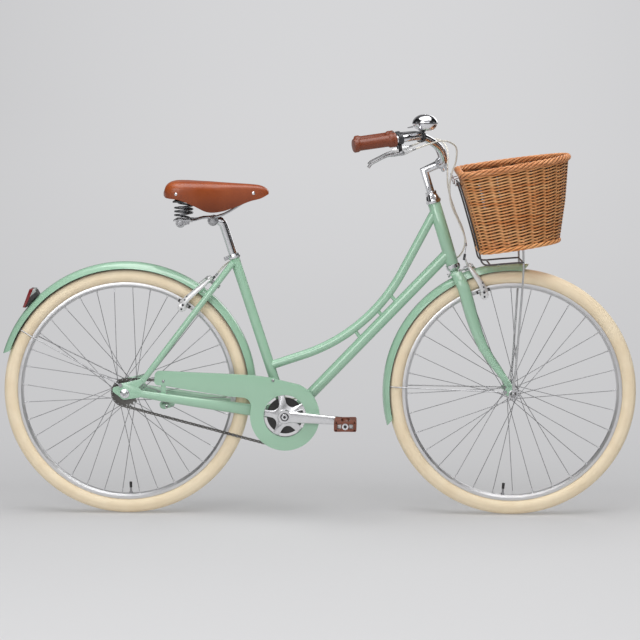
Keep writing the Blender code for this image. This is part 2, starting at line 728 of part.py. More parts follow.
def toothed_plate(centre, teeth, radius, first, inner_r, hole_steps):
    """A flat toothed ring: the outline and the inner edge bridged, then extruded."""
    points = toothed(teeth, radius, first)
    bm = bmesh.new()
    loops = []
    for y in (CHAIN_LINE - PLATE_T / 2, CHAIN_LINE + PLATE_T / 2):
        loops.append([centre + Vector((r * cos(a), y, r * sin(a))) for r, a in points])
    skin(bm, loops)
    hole = turned([(0.0, CHAIN_LINE - 0.01), (inner_r, CHAIN_LINE - 0.01), (inner_r, CHAIN_LINE + 0.01),
                   (0.0, CHAIN_LINE + 0.01)], centre, steps=hole_steps)
    return bm, hole


build_chain()
ring_bm, ring_hole = toothed_plate(BB, RING_TEETH, RING_R, UPPER, 0.0640, 12)
piece("chainring", ring_bm, "steel", parent=crankset, cut=[ring_hole])
FIRST_ON_SPROCKET = LOWER - 2 * pi * ((-RING_PITCHES - RUN_PITCHES) % 1.0) / SPROCKET_TEETH
cog_bm, cog_hole = toothed_plate(REAR, SPROCKET_TEETH, SPROCKET_R, FIRST_ON_SPROCKET, HUB_BORE, 10)
driver = turned([(0.0, SPROCKET_IN), (0.0170, SPROCKET_IN), (0.0170, CHAIN_LINE - 0.0030),
                 (0.0125, CHAIN_LINE - 0.0055), (0.0, CHAIN_LINE - 0.0055)], REAR, steps=12)
piece("rear_sprocket", cog_bm, "steel", REAR, joined=[driver], cut=[cog_hole])


# Cranks and pedals
def crank_tip(side):
    """Pedal eye: the right crank points forwards, the left one backwards."""
    reach = Vector((cos(CRANK_FALL), 0.0, -sin(CRANK_FALL))) * CRANK_L
    if side > 0:
        reach = -reach
    return BB + reach


def crank(side):
    tip = crank_tip(side)
    outer = CRANK_Y + CRANK_T
    arm = plate(capsule(BB, tip, 0.0175, 0.0115, 5), side * CRANK_Y, side * outer)
    for vert in arm.verts:
        share = (vert.co - BB).dot((tip - BB).normalized()) / CRANK_L
        vert.co.y += side * CRANK_SPLAY * min(max(share, 0.0), 1.0)
    boss = turned([(0.0, side * 0.0405), (0.0150, side * 0.0405), (0.0195, side * 0.0480),
                   (0.0195, side * (outer + 0.001)), (0.0115, side * (outer + 0.001)),
                   (0.0115, side * (outer - 0.002)), (0.0, side * (outer - 0.002))], BB, steps=14)
    socket = bar(BB + at(0, 0, side * 0.030), BB + at(0, 0, side * 0.0555), SPINDLE_R + 0.0005, 10, (1, 0, 0))
    eye = bar(tip + at(0, 0, side * 0.05), tip + at(0, 0, side * 0.1), 0.0075, 8, (1, 0, 0))
    return arm, boss, [socket, eye]


def spider():
    """Five broad arms to the chainring, drawn in at their roots."""
    outline = []
    for k in range(5):
        middle = radians(100 - 72 * k)
        for angle, r in ((0.72, 0.030), (0.30, 0.036), (0.155, 0.064), (0.05, 0.070), (-0.05, 0.070),
                         (-0.155, 0.064), (-0.30, 0.036)):
            outline.append((BB.x + r * cos(middle + angle * (1 if r > 0.031 else 0.8727)),
                            BB.z + r * sin(middle + angle * (1 if r > 0.031 else 0.8727))))
    outer = CHAIN_LINE - PLATE_T / 2 - GAP
    return plate(outline, outer - 0.0038, outer)


arm, boss, cuts = crank(-1)
piece("crank_right", arm, "alloy", parent=crankset, joined=[boss, spider()], cut=cuts)
arm, boss, cuts = crank(1)
piece("crank_left", arm, "alloy", parent=crankset, joined=[boss], cut=cuts)
piece("crank_spindle", bar(BB + at(0, 0, -0.0545), BB + at(0, 0, 0.0545), SPINDLE_R, 10, (1, 0, 0)), "steel",
      parent=crankset)


def pedal(name, side):
    """Spindle screwed into the crank, and a cage pedal that turns on it."""
    tip = crank_tip(side)
    inner = CRANK_Y + CRANK_SPLAY
    face = inner + CRANK_T + GAP
    near = face + 0.006
    far = near + PEDAL_W
    spindle = turned([(0.0, side * inner), (0.0066, side * inner), (0.0066, side * face),
                      (0.0085, side * face), (0.0085, side * (near - 0.001)), (0.0045, side * (near - 0.001)),
                      (0.0045, side * (far - 0.006)), (0.0, side * (far - 0.006))], tip, steps=8)
    axis = pivot(f"{name}_axis", tip, crankset)
    piece(f"{name.replace('pedal', 'pedal_spindle')}", spindle, "steel", tip, crankset)
    half_l, half_h = PEDAL_L / 2, PEDAL_H / 2
    outline = [(-half_l, -half_h * 0.5), (-half_l + 0.007, -half_h), (half_l - 0.007, -half_h),
               (half_l, -half_h * 0.5), (half_l, half_h * 0.5), (half_l - 0.007, half_h),
               (-half_l + 0.007, half_h), (-half_l, half_h * 0.5)]
    body = plate([(tip.x + x, tip.z + z) for x, z in outline], side * near, side * far)
    middle = side * (near + far) / 2
    windows = [block(at(tip.x + s * 0.0205, tip.z, middle), (0.0170, PEDAL_W - 0.020, 0.1)) for s in (-1, 1)]
    ends = [block(at(tip.x + s * 0.0205, tip.z, middle), (0.0170, 0.2, 0.0150)) for s in (-1, 1)]
    bore = turned([(0.0, side * (near - 0.01)), (0.0053, side * (near - 0.01)),
                   (0.0053, side * (far - 0.005)), (0.0, side * (far - 0.005))], tip, steps=8)
    piece(name, body, "tread", parent=axis, cut=windows + ends + [bore])


pedal("pedal_right", -1)
pedal("pedal_left", 1)


# Chain guard
def guard_outline(inset=0.0):
    """Disc round the chainring with an arm rearwards over the upper run."""
    r = GUARD_DISC_R - inset
    top = [(-0.4520, 0.4220 - inset), (-0.3690, 0.4180 - inset), (-0.1980, 0.4105 - inset),
           (-0.1400, 0.4030 - inset)]
    joint_r = 0.026 + inset
    low_z = 0.3455 + inset
    low_x = BB.x - sqrt((GUARD_DISC_R + 0.026) ** 2 - (low_z - joint_r - BB.z) ** 2)
    heading = atan2(low_z - joint_r - BB.z, low_x - BB.x)
    disc = arc(BB.x, BB.z, r, radians(66), heading - 2 * pi, 24)
    hollow = arc(low_x, low_z - joint_r, joint_r, heading - pi, pi / 2 - 2 * pi + 2 * pi, 4)
    low = [(-0.2600, 0.3485 + inset), (-0.4480, 0.3795 + inset)]
    tail = [(-0.4640 + inset, 0.3850 + inset), (-0.4720 + inset, 0.4050)]
    return top, disc, hollow, low, tail


def build_guard():
    def whole(inset):
        top, disc, hollow, low, tail = guard_outline(inset)
        points = top + disc + hollow + low + tail
        first = top[0]
        points[0] = (first[0] + inset, first[1])
        return points
    tray = plate(whole(0.0), GUARD_Y, GUARD_Y + GUARD_DEPTH)
    hollow = plate(whole(GUARD_T), GUARD_Y + GUARD_T, GUARD_Y + GUARD_DEPTH + 0.01)
    hole = turned([(0.0, GUARD_Y - 0.01), (GUARD_HOLE_R, GUARD_Y - 0.01), (GUARD_HOLE_R, GUARD_Y + 0.02),
                   (0.0, GUARD_Y + 0.02)], BB, steps=20)
    lip = turned([(GUARD_HOLE_R, GUARD_Y), (GUARD_HOLE_R + 0.0018, GUARD_Y),
                  (GUARD_HOLE_R + 0.0018, GUARD_Y + 0.0045), (GUARD_HOLE_R, GUARD_Y + 0.0045)], BB, steps=20,
                 ring=True)
    notch = block(at(GUARD_BOLT_X, 0.378, GUARD_Y + GUARD_T + 0.0051), (0.016, 0.010, 0.016))
    stud = BB + SEAT_UP * GUARD_STUD_REACH
    heads = []
    for x, z in ((GUARD_BOLT_X, 0.392), (stud.x, stud.z)):
        heads.append(turned([(0.0, GUARD_Y - 0.0024), (0.0022, GUARD_Y - 0.0022), (0.0042, GUARD_Y - 0.0008),
                             (0.0044, GUARD_Y + 0.0006), (0.0, GUARD_Y + 0.0006)], at(x, z), steps=6))
    obj = piece("chain_guard", tray, "mint", cut=[hollow, hole, notch])
    weld = obj.modifiers.new("Weld", "BOOLEAN")
    weld.operation = "UNION"
    weld.operand_type = "COLLECTION"
    weld.collection = helpers("chain_guard_weld", obj, [lip] + heads, Vector((0.0, 0.0, 0.0)))


build_guard()


# Mudguards, their stays and the tail light
def fender_profile(radius):
    """Rolled section: a crowned strip whose edges turn down beside the tyre."""
    outer = [(radius - 0.0200, FENDER_HALF_W), (radius - 0.0065, FENDER_HALF_W - 0.0045), (radius, 0.0080)]
    outer = outer + [(r, -y) for r, y in reversed(outer)]
    inner = [(r - FENDER_T, y * (1 - FENDER_T / FENDER_HALF_W)) for r, y in outer]
    inner[0] = (outer[0][0], FENDER_HALF_W - FENDER_T)
    inner[-1] = (outer[0][0], FENDER_T - FENDER_HALF_W)
    return outer + inner[::-1]


def on_wheel(centre, angle, r, y=0.0):
    turn = radians(angle)
    return centre + Vector((r * cos(turn), y, r * sin(turn)))


def fender_tab(centre, angle, r0, r1, length, width):
    """A small bracket between a mudguard and what carries it."""
    return block(on_wheel(centre, angle, (r0 + r1) / 2), (length, width, r1 - r0), pi / 2 - radians(angle))


def stay_wire(centre, angle, radius, eye, half_y):
    """One wire from eye to eye that passes inside the mudguard under its crown."""
    inside = radius - FENDER_T - 0.0018 - GAP
    right = [at(eye.x, eye.z, -half_y)]
    for r, y in ((0.322, 0.0275), (0.338, 0.0250), (0.350, 0.0226), (0.360, 0.0190), (inside - 0.0046, 0.0125),
                 (inside - 0.0032, 0.0050)):
        right.append(on_wheel(centre, angle, r, -y))
    left = [Vector((p.x, -p.y, p.z)) for p in reversed(right)]
    return tube(right + left, 0.0018, 6, (0.3, 0.0, 1.0))


def build_fenders():
    bridge_angle = degrees(atan2(BRAKE_BRIDGE.z - REAR.z, BRAKE_BRIDGE.x - REAR.x))
    bridge_r = (BRAKE_BRIDGE - REAR).length - 0.0070 - GAP
    tongue = [on_wheel(REAR, a, REAR_FENDER_R - FENDER_T / 2) for a in (-1.0, -3.0, -5.0, -7.0, -9.0)]
    tongue = tube(tongue, [(0.0130, FENDER_T * 0.7)] * 5, 4)
    rear = swept(fender_profile(REAR_FENDER_R), REAR, radians(163.0), radians(-2.0), 20)
    piece("rear_fender", rear, "mint",
          joined=[fender_tab(REAR, bridge_angle, REAR_FENDER_R - 0.001, bridge_r, 0.012, 0.016), tongue])
    front = swept(fender_profile(FRONT_FENDER_R), FRONT, radians(195.2), radians(83.2), 14)
    crown_angle = degrees(atan2(CROWN.z - FRONT.z, CROWN.x - FRONT.x))
    crown_r = (CROWN - FRONT).length - CROWN_HALF_H - 0.0016
    piece("front_fender", front, "mint", parent=steering,
          joined=[fender_tab(FRONT, crown_angle, FRONT_FENDER_R - 0.0010, crown_r, 0.014, 0.016)])
    for name, centre, angle, radius, eye, half, parent in (
            ("rear_fender_stay", REAR, 149.6, REAR_FENDER_R, REAR_EYE, REAR_OLD / 2 + DROPOUT_T, None),
            ("front_fender_stay", FRONT, 177.3, FRONT_FENDER_R, FRONT_EYE, FRONT_OLD / 2 + DROPOUT_T, steering)):
        bolts = [bar(at(eye.x, eye.z, s * (half + GAP)), at(eye.x, eye.z, s * (half + 0.0055)), 0.0055, 8,
                     (1, 0, 0)) for s in (-1, 1)]
        piece(name, stay_wire(centre, angle, radius, eye, half + 0.0030), "steel", parent=parent,
              joined=bolts)


def build_tail_light():
    """A wedge on the rear mudguard: dark housing below, red lens over its sloping rear face."""
    angle = radians(136.0)
    out = Vector((cos(angle), 0.0, sin(angle)))
    along = Vector((-sin(angle), 0.0, cos(angle)))
    foot = REAR + out * (REAR_FENDER_R + GAP)

    def outline(points):
        spots = [foot + along * t + out * h for t, h in points]
        return [(spot.x, spot.z) for spot in spots]
    housing = plate(outline([(-0.0270, 0.0), (0.0260, 0.0), (0.0275, 0.0012), (-0.0300, 0.0200),
                             (-0.0320, 0.0170)]), -0.0210, 0.0210)
    lens = plate(outline([(0.0278, 0.0015), (0.0320, 0.0070), (-0.0195, 0.0289), (-0.0235, 0.0280),
                          (-0.0297, 0.0203)]), -0.0205, 0.0205)
    piece("tail_light_housing", housing, "dark")
    piece("tail_light_lens", lens, "lens")





CROWN_HALF_H = 0.0053
CROWN = HEAD_BOTTOM - HEAD_UP * 0.0258
REAR_EYE = at(REAR.x - 0.0121, REAR.z + 0.0245)
FRONT_EYE = at(FRONT.x - 0.0225, FRONT.z + 0.0065)
build_fenders()
build_tail_light()


# Seat post, clamp and saddle
SEAT_Z = 0.8510
SADDLE_CLAMP = at(-0.3040, SEAT_Z)
RAIL_R = 0.0035
SPRING_X = -0.3885
SPRING_Y = 0.0540
SPRING_LOW = 0.8560
SPRING_HIGH = 0.9045
NOSE = at(-0.1680, 0.9310)

seat_height = pivot("seat_height", SEAT_TOP)
saddle_hinge = pivot("saddle_hinge", NOSE, seat_height)


def build_post():
    low = SEAT_TOP - SEAT_UP * 0.190
    bend = SEAT_TOP + SEAT_UP * 0.102
    path = [low] + fillet(low, bend, SADDLE_CLAMP, 0.022, 5) + [SADDLE_CLAMP]
    count = len(path)
    sizes = [(POST_R, POST_R)] * (count - 2) + [(0.0120, 0.0115), (0.0115, 0.0105)]
    seat = bar(SADDLE_CLAMP + at(0, 0, -0.03), SADDLE_CLAMP + at(0, 0, 0.03), 0.0162, 14, (1, 0, 0))
    piece("seat_post", tube(path, sizes, 12), "chrome", parent=seat_height, cut=[seat])


def build_saddle_clamp():
    """Serrated discs inside the rails and washers outside them, on one bolt below the rails."""
    inner = 0.0225 - RAIL_R - 2 * GAP
    outer = 0.0225 + RAIL_R + 2 * GAP
    half = [(0.0155, 0.0), (0.0155, inner), (0.0040, inner), (0.0040, outer), (0.0125, outer),
            (0.0125, outer + 0.0030), (0.0065, outer + 0.0060), (0.0, outer + 0.0060)]
    profile = [(r, -h) for r, h in reversed(half[1:])] + [(r, h) for r, h in half[1:]]
    piece("saddle_clamp", turned(profile, SADDLE_CLAMP, steps=12), "steel", parent=seat_height)


def build_rails():
    def rail():
        return tube(through([
            at(SPRING_X - 0.0020, SPRING_LOW - 0.0050, -SPRING_Y),
            at(SPRING_X + 0.0280, SPRING_LOW - 0.0035, -SPRING_Y + 0.0100),
            at(SADDLE_CLAMP.x - 0.0250, SEAT_Z + 0.0090, -0.0262),
            at(SADDLE_CLAMP.x, SEAT_Z + 0.0095, -0.0225),
            at(SADDLE_CLAMP.x + 0.0250, SEAT_Z + 0.0150, -0.0225),
            at(-0.2450, 0.8840, -0.0150),
            at(-0.2050, 0.9100, -0.0095),
            at(NOSE.x, NOSE.z, -0.0050),
        ], 13), RAIL_R, 6)
    cross = block(at(SPRING_X, SPRING_LOW - 0.0020 - GAP), (0.0500, 2 * SPRING_Y + 0.030, 0.0040))
    bolts = [bar(at(SPRING_X, 0.8436, s * SPRING_Y), at(SPRING_X, SPRING_LOW - 0.002, s * SPRING_Y), 0.0060, 6)
             for s in (-1, 1)]
    nose = block(NOSE, (0.0180, 0.0170, 0.0110), radians(-20))
    piece("saddle_frame", cross, "steel", parent=seat_height,
          joined=both(rail) + bolts + [nose])


def build_springs():
    for name, side in (("saddle_spring_right", -1), ("saddle_spring_left", 1)):
        straight = 2 * SPRING_WIRE_R
        low, high = SPRING_LOW, SPRING_HIGH
        coil = []
        steps = round(SPRING_TURNS * 8)
        for k in range(steps + 1):
            share = k / steps
            turn = side * 2 * pi * SPRING_TURNS * share
            rise = low + straight + 0.0030 + (high - low - 2 * straight - 0.0060) * share
            coil.append(at(SPRING_X + SPRING_R * cos(turn), rise, side * SPRING_Y + SPRING_R * sin(turn)))
        first, last = coil[0], coil[-1]
        foot = [at(first.x, low, first.y), at(first.x, low + straight, first.y)]
        head = [at(last.x, high - straight, last.y), at(last.x, high, last.y)]
        path = foot + coil[1:-1] + head
        gap = (high - low - 2 * straight - 0.0060) / SPRING_TURNS - 2 * SPRING_WIRE_R
        print(f"{name}: {gap * 1000:.2f} mm between turns")
        piece(name, tube(path, SPRING_WIRE_R, 5, (1, 0, 0)), "chrome", parent=seat_height)


def build_cover():
    """Leather top: broad over the springs, waisted, with deep skirts and a narrow nose."""
    stations = [(-0.4415, 0.050, 0.9360, 0.9240), (-0.4330, 0.072, 0.9560, 0.9190),
                (-0.4150, 0.0835, 0.9650, 0.9160), (-0.3850, 0.0860, 0.9660, 0.9120),
                (-0.3500, 0.0760, 0.9645, 0.8960), (-0.3150, 0.0570, 0.9630, 0.8790),
                (-0.2780, 0.0400, 0.9605, 0.8860), (-0.2400, 0.0295, 0.9580, 0.9020),
                (-0.2000, 0.0245, 0.9555, 0.9150), (-0.1700, 0.0215, 0.9520, 0.9200),
                (-0.1520, 0.0160, 0.9440, 0.9230), (-0.1450, 0.0100, 0.9365, 0.9260)]
    bm = bmesh.new()
    rows = []
    for x, half, top, low in stations:
        drop = top - low
        right = [(half, low), (half * 1.01, low + drop * 0.45), (half * 0.94, top - drop * 0.16),
                 (half * 0.66, top - drop * 0.02)]
        section = right + [(0.0, top)] + [(-y, z) for y, z in reversed(right)]
        verts = [bm.verts.new((x, y, z)) for y, z in section]
        rows.append([bm.edges.new(pair) for pair in zip(verts, verts[1:])])
    for first, second in zip(rows, rows[1:]):
        bmesh.ops.bridge_loops(bm, edges=first + second)
    bmesh.ops.recalc_face_normals(bm, faces=bm.faces)
    if sum(face.normal.z for face in bm.faces) < 0:
        bmesh.ops.reverse_faces(bm, faces=bm.faces)
    bmesh.ops.solidify(bm, geom=bm.faces, thickness=0.0040)
    plate_bar = block(at(SPRING_X, SPRING_HIGH + 0.0025 + GAP), (0.0500, 0.1560, 0.0050))
    post = block(at(SPRING_X, SPRING_HIGH + 0.029), (0.0060, 0.0900, 0.0560))
    piece("saddle_cover", bm, "leather", parent=saddle_hinge, joined=[plate_bar, post])


build_post()
build_saddle_clamp()
build_rails()
build_springs()
build_cover()


# Fork, stem and handlebar
FRONT_BRAKE_DIR = Vector((cos(radians(23)), 0.0, sin(radians(23))))
CLAMP = fore(-0.2080, 1.0156)
STEM_CORNER = HEAD_TOP + HEAD_UP * 0.0960


def blade():
    """Oval blade: nearly straight below the crown, then drawn thin and raked forwards."""
    path = through([
        CROWN + HEAD_FORE * 0.0030 + at(0, 0, -0.0400),
        fore(-0.1410, 0.6580, -0.0410),
        fore(-0.1319, 0.6272, -0.0412),
        fore(-0.1123, 0.5585, -0.0420),
        fore(-0.0844, 0.4880, -0.0450),
        fore(-0.0476, 0.4327, -0.0490),
        fore(-0.0164, 0.3907, -0.0520),
        fore(-0.0085, 0.3770, -0.0525),
    ], 9)
    deep = [0.0160, 0.0180, 0.0178, 0.0170, 0.0160, 0.0142, 0.0118, 0.0100, 0.0085]
    wide = [0.0085, 0.0102, 0.0102, 0.0100, 0.0096, 0.0090, 0.0080, 0.0062, 0.0035]
    return tube(path, list(zip(wide, deep)), 10)


def fork_end():
    outline = arc(FRONT.x, FRONT.z, 0.0115, radians(-130), radians(35), 5)
    outline += [(FRONT.x - 0.0020, FRONT.z + 0.0260), (FRONT.x - 0.0150, FRONT.z + 0.0240)]
    outline += arc(FRONT_EYE.x, FRONT_EYE.z, 0.0060, radians(110), radians(260), 4)
    return plate(outline, -FRONT_OLD / 2 - DROPOUT_T, -FRONT_OLD / 2)


def build_fork():
    crown = tube([CROWN + at(0, 0, y) for y in (-0.0440, -0.0400, -0.0200, 0.0200, 0.0400, 0.0440)],
                 [(0.0120, 0.0040), (0.0165, CROWN_HALF_H), (0.0170, CROWN_HALF_H), (0.0170, CROWN_HALF_H),
                  (0.0165, CROWN_HALF_H), (0.0120, 0.0040)], 10, HEAD_FORE)
    steerer = bar(CROWN, HEAD_TOP + HEAD_UP * 0.0330, STEERER_R, 14)
    socket = bar(HEAD_TOP - HEAD_UP * 0.0360, HEAD_TOP + HEAD_UP * 0.05, QUILL_R + GAP, 14)
    hole = bar(CROWN - FRONT_BRAKE_DIR * 0.03, CROWN + FRONT_BRAKE_DIR * 0.03, 0.0031, 8)
    cuts = [socket, hole] + axle_slot(FRONT, 0.030, FRONT_OLD / 2 + DROPOUT_T / 2, radians(-80))
    piece("fork", crown, "mint", parent=steering, joined=[steerer] + both(blade) + both(fork_end), cut=cuts)


def build_stem():
    low = HEAD_TOP - HEAD_UP * 0.0340
    turn = (STEM_CORNER - low).angle(CLAMP - STEM_CORNER)
    body = tube([low, STEM_CORNER, CLAMP], [(QUILL_R, QUILL_R), (QUILL_R, QUILL_R / cos(turn / 2)),
                                            (QUILL_R + 0.001, QUILL_R + 0.001)], 14)
    barrel = turned([(0.0, -0.0190), (0.0168, -0.0190), (0.0168, 0.0190), (0.0, 0.0190)], CLAMP, steps=14)
    tilt = radians(-29)
    across = at(cos(tilt), -sin(tilt))
    down = at(-sin(tilt), -cos(tilt))
    middle = CLAMP + down * 0.0205
    bolt = bar(middle - across * 0.0095, middle + across * 0.0095, 0.0040, 8)
    ears = block(CLAMP + down * 0.0180, (0.0130, 0.0220, 0.0150), tilt)
    bore = bar(CLAMP + at(0, 0, -0.03), CLAMP + at(0, 0, 0.03), BAR_R + 0.0006, 12, (1, 0, 0))
    slit = block(CLAMP + down * 0.0190, (0.0018, 0.05, 0.0200), tilt)
    piece("stem", body, "chrome", parent=steering, joined=[barrel, ears, bolt], cut=[bore, slit])


def grip_axis(side):
    """Where a grip starts on the bar, and its direction towards the rider."""
    start = fore(-0.3410, 1.0860, side * 0.2620)
    end = fore(-0.4565, 1.0695, side * 0.3000)
    return start, (end - start).normalized()


def bar_half(side):
    """Centre line from the stem's clamp outwards, up and back to the grip."""
    start, way = grip_axis(side)
    route = [at(CLAMP.x, CLAMP.z, side * 0.0360), fore(-0.2030, 1.0300, side * 0.0700),
             fore(-0.2160, 1.0600, side * 0.1080), fore(-0.2460, 1.0830, side * 0.1500), bell_spot(side),
             start - way * 0.034]
    return through(route, 11) + [start - way * 0.012, start + way * (GRIP_L - GAP)]


def bell_spot(side):
    return fore(-0.2730, 1.0930, side * 0.1870)


def along_axis(bm, place, way):
    """Turn a shape drawn along Z onto a direction at a place."""
    matrix = Matrix.Translation(place) @ way.to_track_quat("Z", "Y").to_matrix().to_4x4()
    bmesh.ops.transform(bm, matrix=matrix, verts=bm.verts)
    return bm


def build_bar():
    left = bar_half(1)
    right = bar_half(-1)
    piece("handlebar", tube(right[::-1] + [Vector(CLAMP)] + left, BAR_R, 10, (1, 0, 0)), "chrome",
          parent=steering)


def build_grip(name, side):
    start, way = grip_axis(side)
    inner = BAR_R + 0.0006
    profile = [(0.0, GRIP_L + 0.004), (GRIP_R + 0.0020, GRIP_L + 0.003), (GRIP_R + 0.0030, GRIP_L - 0.008),
               (GRIP_R, GRIP_L - 0.011), (GRIP_R, 0.0150), (GRIP_R + 0.0040, 0.0120),
               (GRIP_R + 0.0040, 0.0), (inner, 0.0), (inner, GRIP_L), (0.0, GRIP_L)]
    shape = along_axis(turned(profile, axis="Z", steps=12), start, way)
    piece(name, shape, "grip", parent=steering)


def lever_pivot(side):
    return fore(-0.3230, 1.0490, side * 0.2500)


def lever_axis(side):
    way = grip_axis(side)[1]
    return Vector((way.y, -way.x, 0.0)).normalized() * (1 if side < 0 else -1)


def build_lever(side, label):
    start, way = grip_axis(side)
    centre = start - way * 0.0120
    ring = along_axis(turned([(BAR_R + 0.0008, -0.0065), (0.0146, -0.0065), (0.0152, 0.0), (0.0146, 0.0065),
                              (BAR_R + 0.0008, 0.0065)], axis="Z", steps=12, ring=True), centre, way)
    spot = lever_pivot(side)
    pin = lever_axis(side)
    cheek = spot + pin * 0.0088
    barrel_end = spot + at(0.0310, 0.0085, -side * 0.0070) + pin * 0.0092
    perch = tube([centre - Vector((0, 0, 0.0135)), centre.lerp(cheek + pin * 0.0020, 0.7), cheek + pin * 0.0020],
                 [(0.0046, 0.0046), (0.0040, 0.0040), (0.0034, 0.0034)], 6, (1, 0, 0))
    disc = bar(cheek - pin * 0.0048, cheek + pin * 0.0048, 0.0070, 8, (0, 0, 1))
    barrel = tube([cheek, cheek.lerp(barrel_end, 0.6), barrel_end], [(0.0046, 0.0046), (0.0048, 0.0048),
                                                                     (0.0038, 0.0038)], 6, (0, 0, 1))
    piece(f"lever_mount_{label}", ring, "alloy", parent=steering, joined=[perch, disc, barrel])
    hinge = pivot(f"lever_{label}_axis", spot, steering)
    blade_path = through([spot, fore(-0.3430, 1.0445, side * 0.2560), fore(-0.3629, 1.0416, side * 0.2620),
                          fore(-0.3891, 1.0290, side * 0.2720), fore(-0.4076, 1.0189, side * 0.2790),
                          fore(-0.4145, 1.0110, side * 0.2820)], 10)
    sizes = [(0.0028, 0.0028), (0.0044, 0.0028)] + [(0.0062, 0.0028)] * 3 + [(0.0058, 0.0026)] * 4 + [(0.0050, 0.0042)]
    handle = tube(blade_path, sizes, 6)
    boss = bar(spot - pin * 0.0032, spot + pin * 0.0032, 0.0062, 8, (0, 0, 1))
    piece(f"lever_{label}", handle, "alloy", parent=hinge, joined=[boss])
    return barrel_end


def build_bell():
    """Chrome bell on a clamp round the right half of the bar."""
    spot = bell_spot(-1)
    route = bar_half(-1)
    near = min(range(len(route)), key=lambda k: (route[k] - spot).length)
    way = (route[near + 1] - route[near - 1]).normalized()
    middle = fore(-0.2584, 1.1300, spot.y + 0.0060)
    ring = along_axis(turned([(BAR_R + 0.0014, -0.0050), (0.0155, -0.0050), (0.0155, 0.0050),
                              (BAR_R + 0.0014, 0.0050)], axis="Z", steps=12, ring=True), route[near], way)
    neck = tube([route[near] + at(0.0030, 0.0152), middle - at(0, 0.0100)], 0.0042, 6, (1, 0, 0))
    bowl = turned([(0.0, -0.0215), (0.0150, -0.0210), (0.0280, -0.0145), (0.0347, -0.0020), (0.0347, -GAP),
                   (0.0, -GAP)], middle, axis="Z", steps=18)
    piece("bell_base", bowl, "chrome", parent=steering, joined=[ring, neck])
    dome = turned([(0.0, 0.0250), (0.0130, 0.0230), (0.0240, 0.0172), (0.0320, 0.0090), (0.0350, 0.0),
                   (0.0335, 0.0), (0.0230, 0.0155), (0.0, 0.0225)], middle, axis="Z", steps=18)
    piece("bell_dome", dome, "chrome", parent=steering)
    knuckle = middle + at(-0.0350, -0.0100)
    hinge = pivot("bell_lever_axis", knuckle, steering)
    tab = plate([(knuckle.x, knuckle.z - 0.0020), (knuckle.x, knuckle.z + 0.0020),
                 (knuckle.x - 0.0135, knuckle.z - 0.0010), (knuckle.x - 0.0135, knuckle.z - 0.0040)],
                middle.y - 0.0045, middle.y + 0.0045)
    barrel = bar(knuckle - at(0, 0.0022), knuckle + at(0, 0.0022), 0.0027, 8, (1, 0, 0))
    piece("bell_lever", tab, "chrome", parent=hinge, joined=[barrel])


build_fork()
build_stem()
build_bar()
build_grip("grip_right", -1)
build_grip("grip_left", 1)
BARREL_RIGHT = build_lever(-1, "right")
BARREL_LEFT = build_lever(1, "left")
build_bell()


# Basket and its wire support
BASKET_WALL = 0.010
BASKET_CORNER = 0.045
BASKET_STAKES = 21
BASKET_FLUTE = 0.0030
BASKET_RIM_R = 0.0095
BASKET_LEVELS = [(-0.0990, 0.1320, 0.152, 0.7660, 0.7960), (-0.1290, 0.1480, 0.180, 0.8800, 0.9130),
                 (-0.1590, 0.1560, 0.198, 0.9840, 1.0300)]
WIRE_R = 0.0030
LEG_TOP = fore(0.0220, 0.7800)
UNDER_Z = 0.7385


def basket_ring(level, grow=0.0, lift=0.0, flute=0.0):
    """A D-shaped loop: flat at the back, round at the front, rising towards the front.

    Its points stand evenly along it, by turns on a stake and between two, where the wall may be drawn in.
    """
    back, front, half, z_back, z_front = level
    back, front, half = FRONT.x + back - grow, FRONT.x + front + grow, half + grow
    reach = front - back - BASKET_CORNER
    loop = arc(back + BASKET_CORNER, 0.0, 1.0, -pi / 2, pi / 2, 36)
    loop = [(back + BASKET_CORNER + (x - back - BASKET_CORNER) * reach, y * half) for x, y in loop]
    loop += arc(back + BASKET_CORNER, half - BASKET_CORNER, BASKET_CORNER, pi / 2, pi, 12)
    loop += arc(back + BASKET_CORNER, BASKET_CORNER - half, BASKET_CORNER, pi, 3 * pi / 2, 12)
    run = [0.0]
    for a, b in zip(loop, loop[1:]):
        run.append(run[-1] + hypot(b[0] - a[0], b[1] - a[1]))
    count = 2 * BASKET_STAKES
    points, spot = [], 0
    for k in range(count):
        goal = run[-1] * k / count
        while run[spot + 1] <= goal:
            spot += 1
        share = (goal - run[spot]) / (run[spot + 1] - run[spot])
        (x0, y0), (x1, y1) = loop[spot], loop[spot + 1]
        x, y = x0 + (x1 - x0) * share, y0 + (y1 - y0) * share
        if k % 2:
            across = hypot(x1 - x0, y1 - y0)
            x, y = x - (y1 - y0) / across * flute, y + (x1 - x0) / across * flute
        points.append(at(x, z_back + lift + (z_front - z_back) * (x - back) / (front - back), y))
    return points


def build_basket():
    """Woven tub: a wall that stands out over its stakes, a rolled rim and a plaited foot."""
    wall = BASKET_WALL
    rim = BASKET_RIM_R
    draw = BASKET_FLUTE
    low, mid, top = BASKET_LEVELS
    loops = [basket_ring(low, -0.0040), basket_ring(low, -0.0008, 0.0060), basket_ring(low, 0.0, 0.0120, draw),
             basket_ring(mid, 0.0, 0.0, draw), basket_ring(top, 0.0, -rim, draw),
             basket_ring(top, rim - 0.0040, -rim * 0.5), basket_ring(top, rim - 0.0040, rim * 0.5),
             basket_ring(top, -0.0040, rim), basket_ring(top, -0.0040 - rim, rim * 0.3),
             basket_ring(top, -wall, -rim, -draw), basket_ring(mid, -wall, 0.0, -draw),
             basket_ring(low, -wall, 0.0120, -draw)]
    piece("basket", skin(bmesh.new(), loops), "wicker", parent=steering)


